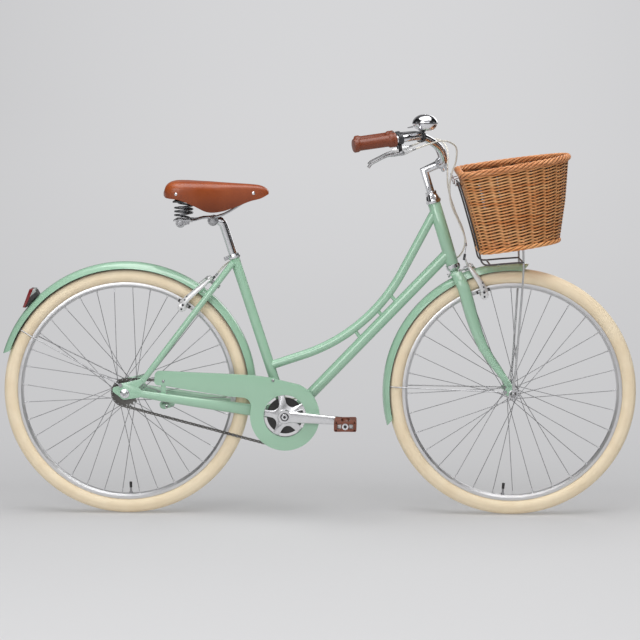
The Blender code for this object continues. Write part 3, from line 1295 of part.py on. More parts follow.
def build_support():
    """Bent wire: up the basket's back, under its floor to the legs, which run from the floor to the axle."""
    foot_y = FRONT_OLD / 2 + DROPOUT_T + GAP + EYE_T / 2

    def side_wire():
        return tube(through([
            fore(-0.1595, 0.9640, -0.100), fore(-0.1390, 0.9000, -0.100), fore(-0.1106, 0.8000, -0.100),
            fore(-0.1012, 0.7620, -0.100), fore(-0.0960, 0.7420, -0.100), fore(-0.0870, 0.7325, -0.100),
            fore(-0.0710, 0.7310, -0.100), fore(-0.0260, 0.7350, -0.100), at(LEG_TOP.x, UNDER_Z, -0.0975),
        ], 15), WIRE_R, 5)

    def leg():
        return tube(through([
            LEG_TOP + at(0, 0, -0.100), fore(0.0230, 0.7000, -0.0930), fore(0.0140, 0.5500, -0.0800),
            fore(0.0060, 0.4300, -0.0690), fore(0.0010, 0.3850, -foot_y - 0.0040)], 8), WIRE_R, 5)

    def foot():
        ring = bar(FRONT + at(0, 0, -foot_y - EYE_T / 2), FRONT + at(0, 0, -foot_y + EYE_T / 2), 0.0130, 10,
                   (1, 0, 0))
        return ring

    def tongue():
        return block(fore(0.0015, 0.3795, -foot_y - 0.0012), (0.0090, EYE_T + 0.0024, 0.0205))
    crosses = [bar(spot + at(0, 0, -0.100), spot + at(0, 0, 0.100), WIRE_R, 5, (1, 0, 0))
               for spot in (fore(-0.1590, 0.9610), fore(-0.0710, 0.7310), at(LEG_TOP.x, UNDER_Z))]
    holes = [bar(FRONT + at(0, 0, s * 0.05), FRONT + at(0, 0, s * 0.065), AXLE_R + 0.0006, 8, (1, 0, 0))
             for s in (-1, 1)]
    piece("basket_support", side_wire(), "steel", parent=steering,
          joined=[mirrored(side_wire())] + both(leg) + both(foot) + both(tongue) + crosses, cut=holes)


build_basket()
build_support()


# Brakes and cables
def frame_of(direction, down):
    """Coordinates beside a brake: out along its bolt, down towards the rim, and across."""
    return lambda base, u, v, y: base + direction * u + down * v + Vector((0.0, y, 0.0))


def build_brake(label, base, direction, down, parent, spacer, pad_at, wheel_centre, back_nut, pull, cable_end, foot):
    """Side-pull caliper: a bolt, and two arms that cross on it and reach down past the mudguard."""
    spot = frame_of(direction, down)
    first = spacer + 0.0003
    profile = [(0.0, -back_nut - 0.0050), (0.0055, -back_nut - 0.0050), (0.0055, -back_nut),
               (0.0026, -back_nut), (0.0026, spacer - 0.0100), (0.0065, spacer - 0.0100), (0.0065, spacer),
               (0.0026, spacer), (0.0026, spacer + 0.0133), (0.0052, spacer + 0.0133),
               (0.0052, spacer + 0.0180), (0.0, spacer + 0.0190)]
    bolt = along_axis(turned(profile, axis="Z", steps=8), base, direction)
    piece(f"{label}_brake_bolt", bolt, "steel", base, parent)
    hub_v = 0.0
    for side, name in ((-1, "right"), (1, "left")):
        u0 = first if side < 0 else first + 0.0066
        middle = u0 + 0.0030
        pad_u = (pad_at - base).dot(direction)
        pad_v = (pad_at - base).dot(down)
        path = through([
            spot(base, middle, hub_v, 0.0),
            spot(base, middle, -0.0030, side * 0.0180),
            spot(base, middle + 0.001, 0.0060, side * 0.0345),
            spot(base, middle + (pad_u - middle) * 0.45, pad_v * 0.50, side * 0.0380),
            spot(base, pad_u - 0.0020, pad_v - 0.0100, side * 0.0350),
            spot(base, pad_u, pad_v, side * 0.0330),
        ], 9)
        arm = tube(path, [(0.0028, 0.0070), (0.0028, 0.0065)] + [(0.0032, 0.0062)] * 4 + [(0.0034, 0.0056)] * 3, 6,
                   tuple(direction))
        eye = bar(base + direction * u0, base + direction * (u0 + 0.0060), 0.0085, 10)
        hole = bar(base + direction * (u0 - 0.01), base + direction * (u0 + 0.02), 0.0032, 6)
        out = (pad_at - wheel_centre).normalized()
        lean = pi / 2 - atan2(out.z, out.x)
        pad_in = RIM_W / 2 + 0.0025
        pad = block(pad_at + at(0, 0, side * (pad_in + 0.0050)), (0.0380, 0.0100, 0.0095), lean)
        post = bar(pad_at + at(0, 0, side * (pad_in + 0.0080)), pad_at + at(0, 0, side * 0.0400), 0.0042, 6,
                   (1, 0, 0))
        parts = [eye, pad, post]
        if side == pull:
            way = (foot - cable_end).normalized()
            lever = tube([spot(base, middle, 0.0, 0.0), spot(base, middle, -0.004, side * 0.0120), foot],
                         [(0.0028, 0.0050), (0.0030, 0.0050), (0.0030, 0.0042)], 6, tuple(direction))
            parts += [lever, bar(cable_end + way * 0.0010, foot + way * 0.0050, 0.0040, 8, (1, 0, 0))]
        axis = pivot(f"{label}_brake_{name}_axis", base, parent)
        piece(f"{label}_brake_arm_{name}", arm, "alloy", parent=axis, joined=parts, cut=[hole])


FRONT_PAD = on_wheel(FRONT, 106.3, 0.3095)
REAR_PAD = on_wheel(REAR, 56.5, 0.3095)
FRONT_CABLE_END = fore(-0.1360, 0.7800, -0.0310)
FRONT_FOOT = fore(-0.1405, 0.7480, -0.0300)
REAR_CABLE_END = at(-0.3000, 0.6890, 0.0265)
REAR_FOOT = at(-0.3091, 0.6812, 0.0255)
build_brake("front", CROWN, FRONT_BRAKE_DIR, Vector((FRONT_BRAKE_DIR.z, 0.0, -FRONT_BRAKE_DIR.x)), steering,
            0.0385, FRONT_PAD, FRONT, 0.0178, -1, FRONT_CABLE_END, FRONT_FOOT)
build_brake("rear", BRAKE_BRIDGE, REAR_BRAKE_DIR, STAY_DOWN, None, 0.0175, REAR_PAD, REAR, 0.0072,
            1, REAR_CABLE_END, REAR_FOOT)


def cable(name, points, count, parent):
    """Brake cable: a round housing along a smooth curve."""
    curve = bpy.data.curves.new(name, "CURVE")
    curve.dimensions = "3D"
    curve.bevel_depth = 0.0024
    curve.bevel_resolution = 2
    curve.use_fill_caps = True
    origin = world_place(parent) if parent else Vector((0.0, 0.0, 0.0))
    spline = curve.splines.new("POLY")
    path = through(points, count)
    spline.points.add(len(path) - 1)
    for point, spot in zip(spline.points, path):
        point.co = (*(spot - origin), 1.0)
    obj = bpy.data.objects.new(name, curve)
    curve.materials.append(material(name, "cable"))
    bpy.context.collection.objects.link(obj)
    obj.parent = parent
    return obj


def build_cables():
    start = BARREL_RIGHT + at(0.0010, 0.0003)
    front = [start, start + at(0.0150, 0.0050, 0.0080), fore(-0.2520, 1.0720, -0.2100), fore(-0.2160, 1.0810, -0.1750),
             fore(-0.1910, 1.0780, -0.1450), fore(-0.1700, 1.0620, -0.1180), fore(-0.1690, 1.0250, -0.0980),
             fore(-0.1800, 0.9900, -0.0860), fore(-0.1860, 0.9500, -0.0740), fore(-0.1800, 0.9000, -0.0600),
             fore(-0.1580, 0.8500, -0.0440), fore(-0.1400, 0.8060, -0.0350), FRONT_CABLE_END]
    cable("front_brake_cable", front, 21, steering)
    start = BARREL_LEFT + at(0.0010, 0.0003)
    side = DOWN_R + 0.0024 + 0.0010
    up = SEAT_TUBE_R + 0.0024 + 0.0012
    down_mid = HEAD_BOTTOM + HEAD_UP * 0.036
    run = (at(BB.x + 0.010, BB.z - 0.008) - down_mid)
    seat = [BB + SEAT_UP * reach + at(0, 0, up) for reach in (0.120, 0.240, 0.360, 0.430)]
    rear = [start, start + at(0.0150, 0.0060, -0.0080), fore(-0.2360, 1.0800, 0.2100), fore(-0.2000, 1.0750, 0.1700),
            fore(-0.1840, 1.0450, 0.1300), fore(-0.1860, 1.0000, 0.0950), fore(-0.1840, 0.9400, 0.0700),
            fore(-0.1660, 0.8800, 0.0550), fore(-0.1410, 0.8200, 0.0450), fore(-0.1380, 0.7750, 0.0380),
            fore(-0.1600, 0.7420, 0.0320), down_mid + run * 0.06 + at(0, 0, side + 0.003),
            down_mid + run * 0.20 + at(0, 0, side), down_mid + run * 0.45 + at(0, 0, side),
            down_mid + run * 0.70 + at(0, 0, side), down_mid + run * 0.86 + at(0, 0, side + 0.002),
            at(BB.x + 0.0100, BB.z + 0.0400, side + 0.004), at(BB.x - 0.0220, BB.z + 0.0720, up + 0.003)]
    rear += seat
    rear += [at(-0.2435, 0.7340, 0.0300), at(-0.2640, 0.7270, 0.0350), at(-0.2850, 0.7080, 0.0320),
             REAR_CABLE_END]
    cable("rear_brake_cable", rear, 46, None)


build_cables()
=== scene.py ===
"""Looks of a step-through city bicycle with a wicker basket: +X forwards, the chain side faces -Y.

Lengths are in metres. Profiles, outlines, lists of widths and block sizes are in millimetres, as a maker notes them.
"""
import json
import random
from math import acos, asin, atan2, cos, hypot, pi, radians, sin, sqrt

import bmesh
import bpy
from mathutils import Matrix, Vector

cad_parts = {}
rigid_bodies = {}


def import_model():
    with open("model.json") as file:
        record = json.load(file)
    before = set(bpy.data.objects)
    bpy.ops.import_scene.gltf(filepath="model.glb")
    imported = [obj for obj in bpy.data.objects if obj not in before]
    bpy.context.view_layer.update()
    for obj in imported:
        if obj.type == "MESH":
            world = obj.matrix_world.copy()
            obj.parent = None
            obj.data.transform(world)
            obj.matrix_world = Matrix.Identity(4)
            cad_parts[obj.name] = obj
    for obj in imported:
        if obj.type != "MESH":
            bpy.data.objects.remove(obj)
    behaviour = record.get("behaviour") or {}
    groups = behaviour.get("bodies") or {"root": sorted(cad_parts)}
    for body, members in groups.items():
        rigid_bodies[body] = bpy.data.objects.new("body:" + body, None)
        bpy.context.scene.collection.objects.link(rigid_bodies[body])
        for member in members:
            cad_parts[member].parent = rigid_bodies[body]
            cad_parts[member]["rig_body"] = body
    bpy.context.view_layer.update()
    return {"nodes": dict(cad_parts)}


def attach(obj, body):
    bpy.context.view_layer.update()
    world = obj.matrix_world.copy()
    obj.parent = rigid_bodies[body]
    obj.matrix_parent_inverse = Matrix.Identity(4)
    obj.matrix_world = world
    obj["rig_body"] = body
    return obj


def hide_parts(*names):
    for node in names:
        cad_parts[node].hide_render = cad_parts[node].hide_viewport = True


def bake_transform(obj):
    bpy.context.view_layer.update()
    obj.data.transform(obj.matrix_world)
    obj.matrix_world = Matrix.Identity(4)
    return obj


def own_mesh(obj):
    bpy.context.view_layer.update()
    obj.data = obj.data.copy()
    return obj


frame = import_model()

# Mint enamel
# The steel tubes, mudguards and guard are stove-enamelled: a thick glossy coat,
# a touch uneven under the light, with fine dust that dulls it here and there.


def feed(tree, node, sockets):
    """Give each named socket of a node its value, or join it to the output that feeds it."""
    for socket, value in sockets.items():
        if isinstance(value, bpy.types.NodeSocket):
            tree.links.new(value, node.inputs[socket])
        else:
            node.inputs[socket].default_value = value


def add(tree, kind, sockets=(), **settings):
    """Add a node with its settings and sockets, and return its outputs."""
    node = tree.nodes.new(kind)
    for setting, value in settings.items():
        setattr(node, setting, value)
    feed(tree, node, dict(sockets))
    return node.outputs


def reckon(tree, kind, *values):
    return add(tree, "ShaderNodeMath", enumerate(values), operation=kind)[0]


def noise(tree, vector, scale, detail=2.0):
    return add(tree, "ShaderNodeTexNoise", {"Vector": vector, "Scale": scale, "Detail": detail})["Fac"]


def band(tree, value, low, high, start=0.0, end=1.0, **settings):
    """Stretch the part of a value between two levels over a new range."""
    return add(tree, "ShaderNodeMapRange", {"Value": value, "From Min": low, "From Max": high, "To Min": start,
                                            "To Max": end}, **settings)["Result"]


def blended(tree, share, first, second, kind="MIX"):
    return add(tree, "ShaderNodeMix", {"Factor": share, "A": first, "B": second}, data_type="RGBA",
               blend_type=kind)["Result"]


def new_group(name, takes, gives):
    """A node group with named sockets: the group, the outputs of its entry and the node it ends in."""
    group = bpy.data.node_groups.new(name, "ShaderNodeTree")
    for way, sockets in (("INPUT", takes), ("OUTPUT", gives)):
        for label, kind in sockets.items():
            group.interface.new_socket(name=label, in_out=way, socket_type=f"NodeSocket{kind}")
    return group, group.nodes.new("NodeGroupInput").outputs, group.nodes.new("NodeGroupOutput")


def coat_group(name):
    """The start of a finish: two colours and a range of roughness in; colour, roughness and height out."""
    group, entry, leave = new_group(name, {"Main": "Color", "Patch": "Color", "Amount": "Float",
                                           "Rough Low": "Float", "Rough High": "Float"},
                                    {"Colour": "Color", "Roughness": "Float", "Height": "Float"})
    return group, entry, leave, add(group, "ShaderNodeTexCoord")["Object"]


def finish_group(name, *sizes):
    """Two colours blended in soft patches, a roughness band and a height for bumps."""
    group, entry, leave, place = coat_group(name)
    patches, dull, height = (noise(group, place, size, 4.0) for size in sizes)
    share = reckon(group, "MULTIPLY", band(group, patches, 0.35, 0.7), entry["Amount"])
    feed(group, leave, {"Colour": blended(group, share, entry["Main"], entry["Patch"]), "Height": height,
                        "Roughness": band(group, dull, 0.3, 0.7, entry["Rough Low"], entry["Rough High"])})
    return group


smooth_coat = finish_group("smooth_coat", 7.0, 30.0, 420.0)


def srgb(red, green, blue):
    """A colour read in the eye's scale of 0 to 255, as the linear values a shader takes."""
    return tuple((c / 255 / 12.92) if c < 11 else ((c / 255 + 0.055) / 1.055) ** 2.4
                 for c in (red, green, blue)) + (1.0,)


def finish(name, group, main, patch, amount, rough, bump=0.05, bump_size=0.0004, metal=0.0, coat=0.0,
           specular=0.5):
    """A Principled material whose colour, roughness and bumps come from one of the finish groups."""
    material = bpy.data.materials.new(name)
    material.use_nodes = True
    tree = material.node_tree
    look = add(tree, "ShaderNodeGroup", {"Main": main, "Patch": patch, "Amount": amount, "Rough Low": rough[0],
                                         "Rough High": rough[1]}, node_tree=group)
    relief = add(tree, "ShaderNodeBump", {"Strength": bump, "Distance": bump_size, "Height": look["Height"]})
    feed(tree, tree.nodes["Principled BSDF"], {
        "Base Color": look["Colour"], "Roughness": look["Roughness"], "Normal": relief["Normal"],
        "Metallic": metal, "Coat Weight": coat, "Coat Roughness": 0.06, "Specular IOR Level": specular})
    return material


mint = finish("mint_enamel", smooth_coat, srgb(163, 203, 175), srgb(161, 201, 173), 0.6, (0.18, 0.26),
              bump=0.02, coat=1.0)


def placed(name, data):
    obj = bpy.data.objects.new(name, data)
    bpy.context.scene.collection.objects.link(obj)
    return obj


def made(name, bm, material, body, node=None, slot=None, sharp=40.0, outward=True):
    """Make a bmesh a finished piece: shaded smooth with sharp creases, riding on its body."""
    bmesh.ops.remove_doubles(bm, verts=bm.verts, dist=1e-6)
    if outward:
        bmesh.ops.recalc_face_normals(bm, faces=bm.faces)
    mesh = bpy.data.meshes.new(name)
    bm.to_mesh(mesh)
    bm.free()
    piece = placed(name, mesh)
    mesh.polygons.foreach_set("use_smooth", [True] * len(mesh.polygons))
    mesh.set_sharp_from_angle(angle=radians(sharp))
    mesh.materials.append(material)
    if body:
        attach(piece, body)
    if node:
        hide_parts(node)
    return piece


def carried(nodes, material, slot, soften=0.0, sharp=35.0):
    """Machined or welded pieces taken as the frame has them, merged, softened at their edges and finished."""
    for node in nodes:
        source = frame["nodes"][node]
        bm = bmesh.new()
        bm.from_mesh(source.data)
        bmesh.ops.remove_doubles(bm, verts=bm.verts, dist=2e-6)
        bmesh.ops.dissolve_limit(bm, angle_limit=radians(1.0), verts=bm.verts, edges=bm.edges)
        piece = made(f"{node}_finished", bm, material, source["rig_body"], node, slot, sharp, outward=False)
        if soften:
            edge = piece.modifiers.new("softened_edges", "BEVEL")
            edge.width, edge.segments = soften, 2
            edge.limit_method, edge.angle_limit = "ANGLE", radians(38)


# Bright fittings
# Polished chrome on the post, bars, bell and headset; satin alloy on cranks,
# levers and brakes; zinc-plated steel on axles, bolts and wires.
fine_metal = finish_group("fine_metal", 16.0, 60.0, 900.0)
chrome = finish("chrome_plate", fine_metal, (0.8, 0.8, 0.82, 1), (0.7, 0.71, 0.73, 1), 0.5, (0.06, 0.16),
                bump=0.02, metal=1.0)
alloy = finish("polished_alloy", fine_metal, (0.78, 0.78, 0.79, 1), (0.7, 0.7, 0.71, 1), 0.6, (0.14, 0.26),
               bump=0.015, metal=1.0)
cast_silver = finish("cast_silver", fine_metal, (0.8, 0.8, 0.8, 1), (0.74, 0.74, 0.74, 1), 0.6, (0.28, 0.38),
                     bump=0.0, metal=0.4)
lever_metal = finish("lever_metal", fine_metal, (0.52, 0.52, 0.53, 1), (0.46, 0.46, 0.47, 1), 0.6, (0.24, 0.34),
                     bump=0.0, metal=0.8)
zinc = finish("zinc_steel", fine_metal, (0.46, 0.46, 0.47, 1), (0.34, 0.34, 0.35, 1), 0.7, (0.26, 0.44),
              bump=0.06, metal=1.0)
clamp_black = finish("anodised_black", fine_metal, (0.035, 0.036, 0.04, 1), (0.055, 0.056, 0.06, 1), 0.6,
                     (0.26, 0.4))
carried(("seat_clamp", "headset_upper", "headset_lower", "seat_post"), chrome, "chrome", soften=0.0005)
carried(("bottom_bracket",), zinc, "steel")
carried(("stem",), chrome, "aluminium", soften=0.0008)
carried(("bell_lever",), chrome, "chrome", soften=0.0002)
carried(("crank_spindle", "pedal_spindle_right", "pedal_spindle_left", "rear_axle", "front_axle",
         "rear_fender_stay", "front_fender_stay", "saddle_clamp", "front_brake_bolt", "rear_brake_bolt"),
        zinc, "steel", soften=0.0003)
carried(("saddle_frame",), chrome, "chrome", soften=0.0004)
carried(("fork",), mint, "mint_paint", sharp=50)

# Wheels
# Cream tyres on silver double-wall rims; stainless spokes cross three times
# from the alloy hubs, each with a plated nipple in the rim's bed.
WHEELBASE = 1.112
TYRE_R = 0.357
BED_R = 0.301
REAR = Vector((-WHEELBASE / 2, 0.0, TYRE_R))
FRONT = Vector((WHEELBASE / 2, 0.0, TYRE_R))
CROSSES = 3
HALF_RIM = [(301, 5.5), (302.2, 8), (307.2, 12.1), (307.8, 13.2), (315.3, 13.5), (316.5, 12.7), (316.5, 11.2),
            (310.5, 11.2)]
HALF_TYRE = [(311.2, 10.4), (316.8, 10.6), (318.5, 14), (322, 18.6), (327, 22), (333, 23.5), (339, 22.8),
             (344, 20.8), (345.5, 20.6), (350, 16.8), (353.5, 12.2), (356, 6.6), (357, 0)]
HALF_FRONT_HUB = [(9.2, 0), (9.8, 22), (11.8, 29), (19.7, 32), (20.4, 32.7), (20.4, 34.3), (19.7, 35), (11, 35),
                  (10, 41), (9.2, 42), (5.7, 42)]
REAR_HUB = [(5.7, -36.7), (18.6, -36.7), (19.6, -34.5), (20.5, -29.5), (29.6, -29), (30.4, -28.3), (30.4, -26.7),
            (29.6, -26), (21.5, -23.5), (20.5, -20), (20.5, 26), (21.5, 29), (29.6, 31), (30.4, 31.7), (30.4, 33.3),
            (29.6, 34), (17, 35), (16, 42), (15, 50), (5.7, 50)]
rim_metal = finish("rim_alloy", fine_metal, (0.76, 0.76, 0.77, 1), (0.71, 0.71, 0.72, 1), 0.5, (0.3, 0.42),
                   bump=0.01, metal=0.85)
spoke_steel = finish("spoke_steel", fine_metal, (0.36, 0.36, 0.37, 1), (0.28, 0.28, 0.29, 1), 0.5,
                     (0.4, 0.55), bump=0.0, metal=0.9)
rubber_coat = finish_group("rubber_coat", 22.0, 70.0, 1100.0)
cream = finish("cream_rubber", rubber_coat, srgb(250, 233, 202), srgb(242, 222, 188), 0.8, (0.55, 0.72),
               bump=0.25, bump_size=0.0005, specular=0.35)
black = finish("black_rubber", rubber_coat, srgb(38, 37, 37), srgb(58, 56, 55), 0.7, (0.45, 0.65), bump=0.2)


def toward(turn):
    """Direction at an angle above +X in the side view."""
    return Vector((cos(turn), 0.0, sin(turn)))


def aside(y):
    """A step across the bicycle, to its left."""
    return Vector((0.0, y, 0.0))


def both_sides(half):
    """A section from the half of it that lies left of the middle."""
    return [(r, -y) for r, y in reversed(half) if y] + half


def strung(bm, spots, closed=False):
    """String new vertices on edges, in a line or a closed ring."""
    verts = [bm.verts.new(spot) for spot in spots]
    pairs = zip(verts[-1:] + verts, verts) if closed else zip(verts, verts[1:])
    return verts, [bm.edges.new(pair) for pair in pairs]


def turned_ring(profile, centre, steps, sweep=2 * pi, first=0.0, closed=True):
    """Turn a profile of (radius, offset) pairs about an axle through the centre."""
    bm = bmesh.new()
    verts, edges = strung(bm, [centre + toward(first) * (r / 1000) + aside(y / 1000) for r, y in profile], closed)
    bmesh.ops.spin(bm, geom=verts + edges, cent=centre, axis=aside(-1), angle=sweep, steps=steps,
                   use_merge=closed)
    return bm


def facing(spot, way):
    """Place of a piece that is drawn upright, set at a spot and turned to face a way."""
    return Matrix.Translation(spot) @ way.to_track_quat("Z", "Y").to_matrix().to_4x4()


def rod(bm, start, end, radius, sides=8, tip=None):
    """A straight round rod between two points."""
    bmesh.ops.create_cone(bm, cap_ends=True, segments=sides, radius1=radius, radius2=tip or radius,
                          depth=(end - start).length, matrix=facing((start + end) / 2, end - start))


def lace(name, centre, body, count, hub_r, flanges, phase):
    """Lace a wheel: crossed spokes between the flanges and the rim, with their nipples."""
    wires, nipples = bmesh.new(), bmesh.new()
    gap = 2 * pi / (count // 2)
    for y, lead in flanges:
        for k in range(count // 2):
            hole = phase + gap * k + lead
            sign = 1 if k % 2 else -1
            start = centre + toward(hole) * hub_r + aside(y + sign * 0.0019)
            rim_y = (0.003 if y > 0 else -0.003) + sign * 0.001
            end = centre + toward(hole + sign * CROSSES * gap) * BED_R + aside(rim_y)
            way = (end - start).normalized()
            rod(wires, start, end - way * 0.004, 0.001)
            rod(wires, start - aside(sign * 0.0034), start + aside(sign * 0.0006), 0.0016)
            rod(nipples, end - way * 0.0125, end + way * 0.0006, 0.0019, 6)
            rod(nipples, end - way * 0.0012, end + way * 0.0007, 0.003, 10, 0.0027)
    made(f"{name}_spokes", wires, spoke_steel, body)
    made(f"{name}_nipples", nipples, rim_metal, body)


def valve(name, centre, body, angle):
    """Narrow stem through the rim with its lock ring and a black cap."""
    out = toward(angle)
    stem, cap = bmesh.new(), bmesh.new()
    rod(stem, centre + out * 0.281, centre + out * (BED_R + 0.001), 0.0029, 16)
    rod(stem, centre + out * 0.2965, centre + out * 0.3004, 0.005, 6)
    made(f"{name}_stem", stem, zinc, body)
    rod(cap, centre + out * 0.2675, centre + out * 0.284, 0.004, 16)
    rod(cap, centre + out * 0.2672, centre + out * 0.2676, 0.0032, 16)
    made(f"{name}_cap", cap, black, body, name, "black_plastic")


def build_wheel(side, centre, count, hub_r, flanges, hub_section, valve_angle):
    body = f"{side}_wheel"
    for piece, section, steps, material, node, slot, sharp in (
            ("rim_hoop", both_sides(HALF_RIM), 144, rim_metal, "rim", "aluminium", 40),
            ("tyre_casing", both_sides(HALF_TYRE), 144, cream, "tyre", "cream_rubber", 60),
            ("hub_shell", hub_section, 48, alloy, "hub", "aluminium", 40)):
        made(f"{side}_{piece}", turned_ring(section, centre, steps), material, body, f"{side}_{node}", slot, sharp)
    lace(side, centre, body, count, hub_r, flanges, valve_angle + pi / count)
    valve(f"{side}_valve", centre, body, valve_angle)


build_wheel("rear", REAR, 36, 0.0268, [(-0.0275, 0.0), (0.0325, pi / 18)], REAR_HUB, radians(-88.4))
build_wheel("front", FRONT, 32, 0.0172, [(-0.0335, 0.0), (0.0335, pi / 16)], both_sides(HALF_FRONT_HUB),
            radians(-94.6))

# Frame
# Mitred steel tubes welded at the joints, with leaf-shaped dropouts and small
# struts between the two curved main tubes, all under one coat of enamel.
FIXED = "frame_assembly"
HEAD_UP = toward(pi - radians(73))
HEAD_BOTTOM = Vector((0.3288, 0.0, 0.9014)) - HEAD_UP * 0.184
SEAT_UP = toward(pi - radians(72))
SEAT_TOP = Vector((-0.247185, 0.0, 0.754))
BB = Vector((-0.097072, 0.0, 0.292))
DOWN_START = HEAD_BOTTOM + HEAD_UP * 0.036
DOWN_RUN = BB + Vector((0.01, 0.0, -0.008)) - DOWN_START
DOWN_R = 0.016
SEAT_R = 0.0143
GUARD_STUD = BB + SEAT_UP * 0.1085
AXLE_HALF_REAR = 0.06
AXLE_HALF_FRONT = 0.05
DROPOUT_T = 0.005
DROPOUT_Y = -AXLE_HALF_REAR - DROPOUT_T / 2


def at(x, z, y=0.0):
    return Vector((x, y, z))


def spots(*places, base=Vector(), side=1):
    """Places noted as (x, z, y) in millimetres from a base, y times the side."""
    return [base + at(x / 1000, z / 1000, side * y / 1000) for x, z, y in places]


def evenly(points, shares):
    """Points at the given shares of the length of a run of points."""
    run = [0.0]
    for a, b in zip(points, points[1:]):
        run.append(run[-1] + (b - a).length)
    out, spot = [], 0
    for share in shares:
        goal = run[-1] * share
        while spot < len(run) - 2 and run[spot + 1] < goal:
            spot += 1
        part = (goal - run[spot]) / (run[spot + 1] - run[spot])
        out.append(points[spot].lerp(points[spot + 1], min(max(part, 0.0), 1.0)))
    return out


def through(points, count):
    """Evenly spaced points of a smooth curve through the given ones."""
    ends = [points[0] * 2 - points[1]] + list(points) + [points[-1] * 2 - points[-2]]
    fine = [0.5 * (2 * b + (c - a) * t + (2 * a - 5 * b + 4 * c - d) * t * t + (3 * b - a - 3 * c + d) * t ** 3)
            for a, b, c, d in zip(ends, ends[1:], ends[2:], ends[3:]) for t in (k / 24 for k in range(24))]
    return evenly(fine + [Vector(points[-1])], [k / (count - 1) for k in range(count)])


def rounded(before, corner, after, radius, count):
    """Points of an arc that rounds the corner between two straight runs."""
    back, on = (before - corner).normalized(), (after - corner).normalized()
    half = acos(max(-1.0, min(1.0, back.dot(on)))) / 2
    centre = corner + (back + on).normalized() * (radius / sin(half))
    reach = radius * cos(half) / sin(half)
    first, last = corner + back * reach - centre, corner + on * reach - centre
    return [centre + first.slerp(last, k / count).normalized() * radius for k in range(count + 1)]


def widths(count, *values):
    """Draw a short list of widths out to a number of stations along a tube."""
    out = []
    for k in range(count):
        goal = (len(values) - 1) * k / (count - 1)
        low = min(int(goal), len(values) - 2)
        out.append((values[low] + (values[low + 1] - values[low]) * (goal - low)) / 1000)
    return out


def tube(bm, path, wide, high=None, sides=24, across=(0.0, 1.0, 0.0), closed=False):
    """Bridge round or oval loops along a path; widths are one number or one for each point."""
    count = len(path)
    wide, high = ([w] * count if isinstance(w, float) else w for w in (wide, high or wide))
    side = Vector(across)
    rings = []
    for i, point in enumerate(path):
        before = path[(i - 1) % count] if closed else path[max(i - 1, 0)]
        after = path[(i + 1) % count] if closed else path[min(i + 1, count - 1)]
        along = ((point - before).normalized() + (after - point).normalized()).normalized()
        side = (side - along * side.dot(along)).normalized()
        other = along.cross(side)
        turns = [2 * pi * (k + 0.5) / sides for k in range(sides)]
        loop = [point + side * wide[i] * cos(t) + other * high[i] * sin(t) for t in turns]
        rings.append(strung(bm, loop, True)[1])
    for first, second in zip(rings, rings[1:] + (rings[:1] if closed else [])):
        bmesh.ops.bridge_loops(bm, edges=first + second)
    if not closed:
        bmesh.ops.edgeloop_fill(bm, edges=rings[0])
        bmesh.ops.edgeloop_fill(bm, edges=rings[-1])
    return bm


def round_over(bm, edges, width, segments=2):
    bmesh.ops.bevel(bm, geom=edges, offset=width, offset_type="OFFSET", affect="EDGES", segments=segments,
                    profile=0.5, material=-1, clamp_overlap=True)


def draw_out(bm, grown, depth):
    """Draw what an extrusion has added out sideways, and return its faces."""
    verts = [item for item in grown["geom"] if isinstance(item, bmesh.types.BMVert)]
    bmesh.ops.translate(bm, vec=(0.0, depth, 0.0), verts=verts)
    return [item for item in grown["geom"] if isinstance(item, bmesh.types.BMFace)]


def plate(bm, outline, y0, y1, edge=0.0, segments=2):
    """A flat plate from an outline of (x, z) pairs, with its edges rounded over."""
    face = bm.faces.new([bm.verts.new((x, y0, z)) for x, z in outline])
    caps = [face] + draw_out(bm, bmesh.ops.extrude_face_region(bm, geom=[face]), y1 - y0)
    if edge:
        round_over(bm, list({e for cap in caps for e in cap.edges}), edge, segments)
    return bm


def arc(centre, radius, first, last, count):
    turns = [first + (last - first) * k / count for k in range(count + 1)]
    return [(centre.x + radius * cos(t), centre.z + radius * sin(t)) for t in turns]


def arcs(base, *corners):
    """An outline of arcs noted as x, z and radius in millimetres from a base, first and last degree, and steps."""
    return [spot for x, z, radius, first, last, count in corners
            for spot in arc(base + at(x / 1000, z / 1000), radius / 1000, radians(first), radians(last), count)]


def capsule(a, b, ra, rb, count):
    """Outline of two round ends joined by straight flanks, in the side view."""
    heading = atan2(b.z - a.z, b.x - a.x)
    tilt = acos((ra - rb) / hypot(b.x - a.x, b.z - a.z))
    return (arc(b, rb, heading - tilt, heading + tilt, count)
            + arc(a, ra, heading + tilt, heading + 2 * pi - tilt, count))


def mirrored(bm):
    """Add the mirror image of a shape on the other side of the bicycle's middle plane."""
    bmesh.ops.mirror(bm, geom=bm.verts[:] + bm.edges[:] + bm.faces[:], axis="Y", merge_dist=-1.0)
    return bm


def lathe(bm, profile, centre, way, steps=32):
    """Turn a profile of (radius, height) pairs about any axis through the centre."""
    place = facing(centre, way)
    verts, edges = strung(bm, [place @ Vector((r / 1000, 0.0, h / 1000)) for r, h in profile])
    bmesh.ops.spin(bm, geom=verts + edges, cent=centre, axis=way, angle=2 * pi, steps=steps, use_merge=True)
    return bm


def collar(inner, outer, low, high, edge, fall=None, shut=True):
    """Profile of a round collar or disc whose outer corners are broken."""
    fall = fall or edge
    loop = [(inner, low), (outer - edge, low), (outer, low + fall), (outer, high - fall), (outer - edge, high),
            (inner, high)]
    return loop + loop[:1] if shut and inner else loop


def block(bm, centre, size, edge, lean=0.0):
    """A rectangular block leaned about the side-to-side axis, its edges rounded."""
    place = Matrix.Translation(centre) @ Matrix.Rotation(lean, 4, "Y")
    cube = bmesh.ops.create_cube(bm, size=1.0, matrix=place @ Matrix.Diagonal((*(s / 1000 for s in size), 1.0)))
    round_over(bm, list({e for v in cube["verts"] for e in v.link_edges}), edge / 1000)


